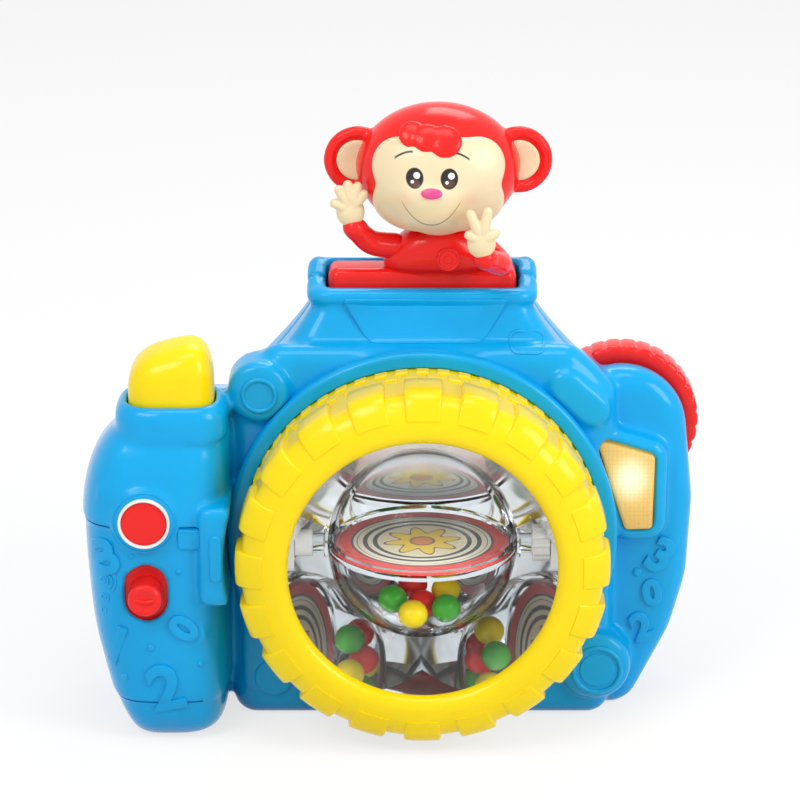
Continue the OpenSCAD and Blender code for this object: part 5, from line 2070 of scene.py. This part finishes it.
@dataclass
class PopUpFigure:
    """Toy animal that pops out of the hump: block, torso, head, face, ears, arms and hands."""

    shop: Shop
    x: float = 4.7
    block: tuple[float, float, float] = (56.6, 12.6, 3.0)
    block_wall: float = 2.0
    block_z: Spot = (107.0, 136.0)
    block_top: float = 138.9
    block_edge: float = 2.8
    leg_half: float = 6.5
    neck_z: float = 150.6
    torso: tuple[tuple[float, float, float], ...] = (
        (13.0, 5.4, 0.0), (14.5, 5.8, 0.14), (16.4, 8.2, 0.27), (15.4, 9.4, 0.55), (12.0, 8.6, 0.82),
        (8.5, 7.4, 1.0))
    emblem: tuple[Spot, ...] = (
        (0.01, 10.4), (3.6, 10.4), (3.6, 11.1), (3.4, 11.35), (3.0, 11.4), (2.7, 11.2), (2.6, 11.0),
        (1.4, 11.0), (1.2, 11.3), (0.7, 11.4), (0.01, 11.4))
    head: Point = (4.7, -2.0, 169.8)
    head_half: Point = (24.4, 18.5, 19.6)
    nape_half: Point = (14.6, 12.6, 8.7)
    ear_x: float = 24.0
    ear_pad: tuple[Spot, ...] = (
        (0.01, 0.75), (3.6, 0.95), (5.6, 1.4), (6.2, 1.75), (6.0, 2.05), (5.2, 2.0), (3.4, 1.5),
        (0.01, 1.25))
    face_lift: float = 1.4
    face_z: float = -3.6
    opening: tuple[Circle, ...] = (
        (-10.8, 3.4, 9.0), (10.8, 3.4, 9.0), (-9.4, -7.4, 10.2), (9.4, -7.4, 10.2), (0.0, -9.8, 9.6),
        (-5.0, 5.8, 7.0), (5.0, 5.8, 7.0))
    locks: tuple[Circle, ...] = ((-7.6, 13.4, 4.4), (-3.2, 12.6, 4.6), (1.8, 11.8, 5.2))
    lock_tilt: float = -32.0
    raised: tuple[Point, ...] = ((-13.0, -3.0, 9.5), (-20.0, -6.0, 11.5), (-24.6, -9.0, 16.5))
    front: tuple[Point, ...] = ((13.5, -4.0, 9.5), (18.5, -13.0, 6.8), (14.0, -22.0, 11.0))
    arm_radii: Point = (4.0, 3.7, 3.3)
    palm_half: Point = (4.3, 2.5, 4.6)
    palm_shifts: tuple[Point, Point] = ((-1.6, -1.0, 5.6), (-1.4, -2.4, 5.4))
    fingers: tuple[tuple[Spot, ...], ...] = (
        ((-70.0, 5.0), (-30.0, 6.8), (-6.0, 7.4), (18.0, 7.2), (42.0, 6.0)),
        ((-22.0, 8.6), (12.0, 8.8), (62.0, 4.6), (-66.0, 4.0)))
    finger_radii: Point = (1.75, 1.65, 1.5)

    def build(self) -> None:
        """Build every piece of the figure."""
        pieces = ((self._block(), "gloss_red", "monkey_plunger"),
                  (self._torso(), "gloss_red", "monkey_torso"),
                  (self._emblem(), "gloss_red", "chest_disc"),
                  (self._head(), "gloss_red", "monkey_head"),
                  (self._face(), "face_paint", "monkey_face"),
                  (self._pads(), "satin_cream", "monkey_ear_pads"),
                  (self._arms(), "gloss_red", "monkey_arms"),
                  (self._hands(), "satin_cream", "monkey_hands"))
        for piece, finish, node in pieces:
            self.shop.deliver(piece, finish, Body.MONKEY, node)

    def _block_ring(self, grow: float, z: float) -> Ring:
        """Ring of the block's outline.

        Args:
            grow: Distance that it is grown by.
            z: Its height.

        Returns:
            The ring.
        """
        w, d, r = self.block
        ring = []
        for sx, sy, start in ((1, 1, 0.0), (-1, 1, 90.0), (-1, -1, 180.0), (1, -1, 270.0)):
            ring += arc((sx * (w / 2 - r), sy * (d / 2 - r)), (r + grow, r + grow), start, start + 90.0, 8)
        return level(ring, z)

    def _block(self) -> Piece:
        """Hollow block that slides in the hump, with a rounded top, and the leg under it.

        Returns:
            The block.
        """
        low, top = self.block_z
        edge, wall, rear = self.block_edge, self.block_wall, self.block[1] / 2
        crown = self.block_top - edge
        steps = [(-wall, top - wall), (-wall, low), (0.0, low), (0.0, crown)]
        steps += [(across - edge, crown + up) for across, up in arc((0.0, 0.0), (edge, edge), 15.0, 90.0, 5)]
        rows = [self._block_ring(grow, z) for grow, z in steps]
        block = Bench.shade(Bench.skin("pop_block", rows), 40.0)
        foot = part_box("monkey_plunger")[0][2] / MM
        leg = box("pop_leg", (-self.leg_half, rear - 1.9, foot), (self.leg_half, rear, low + 1.0))
        Bench.combine(leg, box("leg_slot", (-3.2, 0.0, foot + 1.75), (3.2, 20.0, foot + 6.25)))
        return Bench.join("pop_up_block", [block, Bench.shade(leg, 30.0)])

    def _torso(self) -> Piece:
        """Torso with round shoulders, from the block's top to the neck.

        Returns:
            The torso.
        """
        low = self.block_z[1]
        rows = [level(squircle(half_w, half_d, 2.4, 72), low + share * (self.neck_z - low), (self.x, -1.0))
                for half_w, half_d, share in Bench.path(self.torso, 6)]
        return Bench.shade(Bench.skin("figure_torso", rows), 60.0)

    def _emblem(self) -> Piece:
        """Plain round button on the chest, with a raised edge and a small boss."""
        middle = (self.x + 3.0, 0.0, self.block_z[1] + 7.5)
        return Bench.shade(Bench.turned("chest_button", self.emblem, 48, middle), 40.0)

    def _neck_cut(self) -> Piece:
        """Cutter of all that lies below the neck."""
        return box("neck_cut", (-60.0, -60.0, 100.0), (60.0, 60.0, self.neck_z + 0.05))

    def _ears(self, name: str, profile: Sequence[Spot], reach: float) -> list[Piece]:
        """Pair of turned pieces at the ears.

        Args:
            name: Name of the objects.
            profile: Their profile.
            reach: Distance of each from the head's middle.

        Returns:
            The left and the right piece.
        """
        x, y, z = self.head
        spots = [(x + side * reach, y + 2.0, z + 2.0) for side in (-1.0, 1.0)]
        return [Bench.turned(name, profile, 48, spot) for spot in spots]

    def _head(self) -> Piece:
        """Head, ears, neck and a short fringe melted into one moulding.

        Returns:
            The head.
        """
        cx, cy, cz = self.head
        lug = [(0.01, -2.6), (4.0, -2.4), *arc((8.4, 1.0), (1.9, 1.9), -100.0, 100.0, 10), (6.4, 1.5),
               (4.4, 0.9), (0.01, 0.7)]
        forms = [Bench.ball("skull", self.head, self.head_half, 96),
                 Bench.ball("nape", (cx, cy + 3.0, cz - 11.9), self.nape_half, 48),
                 *self._ears("ear", lug, self.ear_x)]
        for x, z, r in self.locks:
            y = self._skin_y(x, z) + 0.5
            forms.append(Bench.ball("lock", (cx + x, y, cz + z), (r, 1.5, r), 32, self.lock_tilt))
        head = Bench.join("figure_head", forms)
        Bench.soften(head, 0.5, 6)
        Bench.combine(head, self._neck_cut())
        return Bench.shade(head, 45.0)

    def _reach(self, turn: float) -> float:
        """Reach of the face outline from its middle.

        Args:
            turn: Direction in radians.

        Returns:
            Distance to the farthest circle's edge.
        """
        across, up = cos(turn), sin(turn)
        best = 0.0
        for x, z, r in self.opening:
            z -= self.face_z
            along = x * across + z * up
            square = r * r - (x * x + z * z - along * along)
            if square > 0:
                best = max(best, along + sqrt(square))
        return best

    def _skin_y(self, x: float, z: float) -> float:
        """Place of the face's front under a point, with muzzle and nose.

        Args:
            x: Distance across from the head's middle.
            z: Distance up from it.

        Returns:
            The y of the face there.
        """
        a, b, c = (h + self.face_lift for h in self.head_half)
        depth = b * sqrt(max(1 - (x / a) ** 2 - (z / c) ** 2, 0.0))
        muzzle = 2.4 * exp(-(((x + 2.4) / 9.6) ** 4 + ((z + 9.0) / 7.6) ** 4))
        nose = 0.9 * exp(-(((x + 2.1) / 3.3) ** 4 + ((z + 2.6) / 1.7) ** 4))
        return self.head[1] - depth - muzzle - nose

    def _face_ring(self, reach: Sequence[float], share: float, sink: float) -> Ring:
        """Ring of the face.

        Args:
            reach: Reach of the outline all round.
            share: Share of the outline that the ring has.
            sink: Depth under the face's front.

        Returns:
            The ring.
        """
        ring = []
        for k, r in enumerate(reach):
            turn = 2 * pi * k / len(reach)
            x, z = r * share * cos(turn), r * share * sin(turn) + self.face_z
            ring.append((self.head[0] + x, self._skin_y(x, z) + sink, self.head[2] + z))
        return ring

    def _face(self) -> Piece:
        """Face plate with a broad outline, a soft edge, a muzzle and a nose.

        Returns:
            The face.
        """
        count = 180
        raw = [self._reach(2 * pi * k / count) for k in range(count)]
        weights = [(j, 5 - abs(j)) for j in range(-4, 5)]
        total = sum(weight for _, weight in weights)
        reach = [sum(raw[(k + j) % count] * weight for j, weight in weights) / total for k in range(count)]
        shares = [0.015] + [0.04 * k for k in range(1, 24)]
        steps = [(share, 0.0) for share in shares]
        steps += [(0.92 + up, 1.6 - across) for across, up in arc((0.0, 0.0), (1.6, 0.08), 15.0, 90.0, 5)]
        steps += [(0.97, 4.6), (0.5, 5.6)]
        face = Bench.skin("figure_face", [self._face_ring(reach, share, sink) for share, sink in steps])
        Bench.combine(face, self._neck_cut())
        return Bench.shade(face, 60.0)

    def _pads(self) -> Piece:
        """Dished pads inside the ears."""
        pads = self._ears("ear_pad", self.ear_pad, self.ear_x + 0.2)
        return Bench.join("figure_ear_pads", [Bench.shade(pad, 60.0) for pad in pads])

    def _spot(self, point: Point) -> Point:
        """Place of a point that is counted from the block's top."""
        return (self.x + point[0], point[1], self.block_z[1] + point[2])

    def _arms(self) -> Piece:
        """Arms with cuffs at the wrists.

        Returns:
            Both arms.
        """
        pieces = []
        for arm in (self.raised, self.front):
            spots = [self._spot(p) for p in arm]
            pieces.append(Bench.limb("figure_arm", spots, self.arm_radii, 32, 10))
            elbow, wrist = Vector(spots[1]), Vector(spots[2])
            way = (wrist - elbow).normalized()
            cuff = [tuple(wrist - way * 0.7), tuple(wrist + way * 0.9)]
            pieces.append(Bench.limb("cuff", cuff, [3.6, 3.5], 32, 3))
        arms = Bench.join("figure_arms", pieces)
        Bench.soften(arms, 0.42, 4)
        return arms

    def _hands(self) -> Piece:
        """An open hand and a hand with two raised fingers.

        Returns:
            Both hands.
        """
        pieces = []
        for wrist, shift, fingers in zip((self.raised[2], self.front[2]), self.palm_shifts, self.fingers):
            x, y, z = self._spot(tuple(a + b for a, b in zip(wrist, shift)))
            pieces.append(Bench.ball("palm", (x, y, z), self.palm_half, 32))
            root = z + 1.0
            for degrees, length in fingers:
                turn = radians(degrees)
                across, up = length * sin(turn), length * cos(turn)
                mid = (x + 0.5 * across, y - 0.9, root + 0.5 * up)
                tip = (x + across, y - 0.6, root + up)
                pieces.append(Bench.limb("finger", [(x, y, root), mid, tip], self.finger_radii, 14, 4))
        hands = Bench.join("figure_hands", pieces)
        Bench.soften(hands, 0.3, 3)
        return hands


@dataclass
class BackFittings:
    """Battery door and the screws, seen from behind."""

    shop: Shop
    door_x: float = 22.5
    door_y: Spot = (23.8, 26.0)
    door_z: Spot = (14.0, 64.6)
    door_edge: float = 0.4
    door_screw: Spot = (0.0, 18.5)
    grooves: tuple[float, ...] = (50.0, 52.6, 55.2, 57.8, 60.4)
    groove_x: float = 11.0
    head_r: float = 3.0
    shank_r: float = 1.5
    catch_y: Point = (26.0, 24.7, 23.3)
    screw_y: Point = (10.2, 8.0, -9.5)

    def build(self) -> None:
        """Build the door and every screw."""
        self.shop.deliver(self._door(), "gloss_blue", Body.DOOR, "battery_door")
        catch = self._screw("door_catch", self.door_screw, *self.catch_y)
        self.shop.deliver(catch, "plated_steel", Body.DOOR, "door_screw")
        screws = [self._screw("shell_screw", at, *self.screw_y) for at in SCREWS]
        self.shop.deliver(Bench.join("shell_screws", screws), "plated_steel", Body.CASE, "case_screws")

    def _door(self) -> Piece:
        """Door with grip grooves, a rolled hinge edge and a hole for its screw.

        Returns:
            The door.
        """
        front, back = self.door_y
        low, high = self.door_z
        half, edge = (back - front) / 2, self.door_edge
        rows: list[Ring] = []
        for side, cut in ((-1, edge), (-1, 0.0), (1, 0.0), (1, edge)):
            x = side * (self.door_x - edge + cut)
            ring = [(front + cut, low + cut), (back - edge - cut, low + cut), (back - cut, low + edge + cut)]
            ring += arc((front + half, high), (half - cut, half - cut), 0.0, 180.0, 12)
            rows.append([(x, y, z) for y, z in ring])
        door = Bench.skin("battery_hatch", rows)
        Bench.combine(door, rod("screw_hole", self.door_screw, 1.6, 20.0, 30.0),
                      rod("screw_seat", self.door_screw, 3.06, 24.65, 30.0, 48))
        for z in self.grooves:
            line = [(side * self.groove_x, back + 0.35, z) for side in (-1, 1)]
            Bench.combine(door, Bench.limb("groove", line, [0.8, 0.8], 16, 2))
        return Bench.shade(door, 35.0)

    def _screw(self, name: str, at: Spot, top: float, seat: float, tip: float) -> Piece:
        """Pan-head screw with a cross recess, driven from behind.

        Args:
            name: Name of the object.
            at: Its x and z.
            top: Place of its head's top, along y.
            seat: Place under its head.
            tip: Place of its tip.

        Returns:
            The screw.
        """
        r, s = self.head_r, self.shank_r
        profile = [(0.01, tip), (s * 0.4, tip), (s, tip + min(1.5, (seat - tip) * 0.5)), (s, seat),
                   (r, seat), (r, top - 0.6), (r - 0.25, top - 0.25), (r - 0.7, top), (0.01, top)]
        screw = Bench.turned(name, profile, 40, (at[0], 0.0, at[1]), (0.0, 1.0, 0.0))
        for wide, tall in ((0.36, 1.6), (1.6, 0.36)):
            Bench.combine(screw, box("recess", (at[0] - wide, top - 0.9, at[1] - tall),
                                     (at[0] + wide, top + 1.0, at[1] + tall)))
        return Bench.shade(screw, 35.0)


@dataclass
class Interior:
    """CAD nodes that stay as they are and get their finishes."""

    shop: Shop
    finishes: tuple[tuple[str, str], ...] = (
        ("lens_barrel", "gloss_blue"), ("mirror_cup", "mirror_film"), ("bearing_left", "satin_white"),
        ("bearing_right", "satin_white"), ("ball_gear", "satin_white"), ("ball_collar", "satin_white"),
        ("dial_axle", "plated_steel"), ("flash_reflector", "mirror_film"), ("flash_led", "milky_lamp"),
        ("slide_switch", "matt_black"), ("main_board", "circuit_board"), ("speaker", "matt_black"),
        ("battery_box", "satin_white"), ("batteries", "cell_sleeve"), ("battery_contacts", "plated_steel"),
        ("rocker_lever", "satin_white"), ("rocker_pin", "plated_steel"))

    def build(self) -> None:
        """Dress every node."""
        for node, finish in self.finishes:
            self.shop.finishes.dress(bpy.data.objects[node], finish)
            LOG.info("%s: %s", node, finish)


@dataclass
class Studio:
    """Camera at the photograph's angle, soft lights, a white surround and the floor."""

    eye: Point = (-6.72, -1082.94, 454.21)
    tip: float = 71.68
    focal: float = 3729.0
    frame: float = 800.0
    fill: float = 0.58
    floor_size: float = 6.0
    lamps: tuple[tuple[str, Point, Point, Spot, float], ...] = (
        ("key", (-420.0, -620.0, 760.0), (0.0, 0.0, 70.0), (420.0, 320.0), 2.6),
        ("side", (620.0, -420.0, 420.0), (0.0, 0.0, 70.0), (320.0, 420.0), 2.4),
        ("brow", (0.0, -260.0, 900.0), (0.0, 0.0, 100.0), (520.0, 300.0), 1.6),
        ("rear", (120.0, 480.0, 820.0), (0.0, 0.0, 90.0), (420.0, 320.0), 2.2))

    def build(self) -> None:
        """Build the whole studio."""
        self._camera()
        for lamp in self.lamps:
            self._lamp(*lamp)
        self._surround()
        self._floor()

    def _camera(self) -> None:
        """Place the camera."""
        Bench.clear()
        tilt = (radians(self.tip), 0.0, 0.0)
        bpy.ops.object.camera_add(location=Vector(self.eye) * MM, rotation=tilt)
        camera = bpy.context.view_layer.objects.active
        camera.name = "studio_camera"
        camera.data.sensor_fit = "HORIZONTAL"
        camera.data.angle = 2 * atan(self.frame / 2 / self.focal)
        camera.data.clip_start = 0.01
        bpy.context.scene.camera = camera

    @staticmethod
    def _lamp(name: str, spot: Point, goal: Point, size: Spot, power: float) -> None:
        """Hang one soft lamp.

        Args:
            name: Name of the lamp.
            spot: Its place.
            goal: Point that it faces.
            size: Its width and height.
            power: Its power in watts.
        """
        way = (Vector(goal) - Vector(spot)).normalized()
        Bench.clear()
        bpy.ops.object.light_add(type="AREA", location=Vector(spot) * MM,
                                 rotation=way.to_track_quat("-Z", "Y").to_euler())
        lamp = bpy.context.view_layer.objects.active
        lamp.name = name
        lamp.data.shape = "RECTANGLE"
        lamp.data.size, lamp.data.size_y = size[0] * MM, size[1] * MM
        lamp.data.energy = power

    def _surround(self) -> None:
        """White surround for what is seen or mirrored, and an even soft light for the rest."""
        graph = Graph("white_surround", True)
        seen = graph.rays("Is Camera Ray", "Is Glossy Ray", "Is Transmission Ray")
        strength = self.fill + seen * (1.0 - self.fill)
        white = (1.0, 1.0, 1.0, 1.0)
        light = graph.node("ShaderNodeBackground", None, {"Color": white, "Strength": strength})
        bpy.context.scene.world = graph.close(light)
        bpy.context.scene.view_settings.view_transform = "Standard"

    def _floor(self) -> None:
        """Lay the floor under the object."""
        Bench.clear()
        bpy.ops.mesh.primitive_plane_add(size=self.floor_size, location=(0.0, 0.0, 0.0))
        floor = bpy.context.view_layer.objects.active
        floor.name = "studio_floor"
        floor.data.materials.append(PaleFloor().make())


def main() -> None:
    """Build the toy camera over its frame."""
    logging.basicConfig(level=logging.INFO, format="%(message)s", stream=sys.stdout)
    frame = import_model()
    Studio().build()
    shop = Shop(Finishes())
    front, back = CaseShells(shop).build()
    CaseMarks(shop).build(front, back)
    LensGroup(shop).build()
    BeadBall(shop).build()
    Controls(shop).build()
    PopUpFigure(shop).build()
    BackFittings(shop).build()
    Interior(shop).build()


if __name__ == "__main__":
    main()
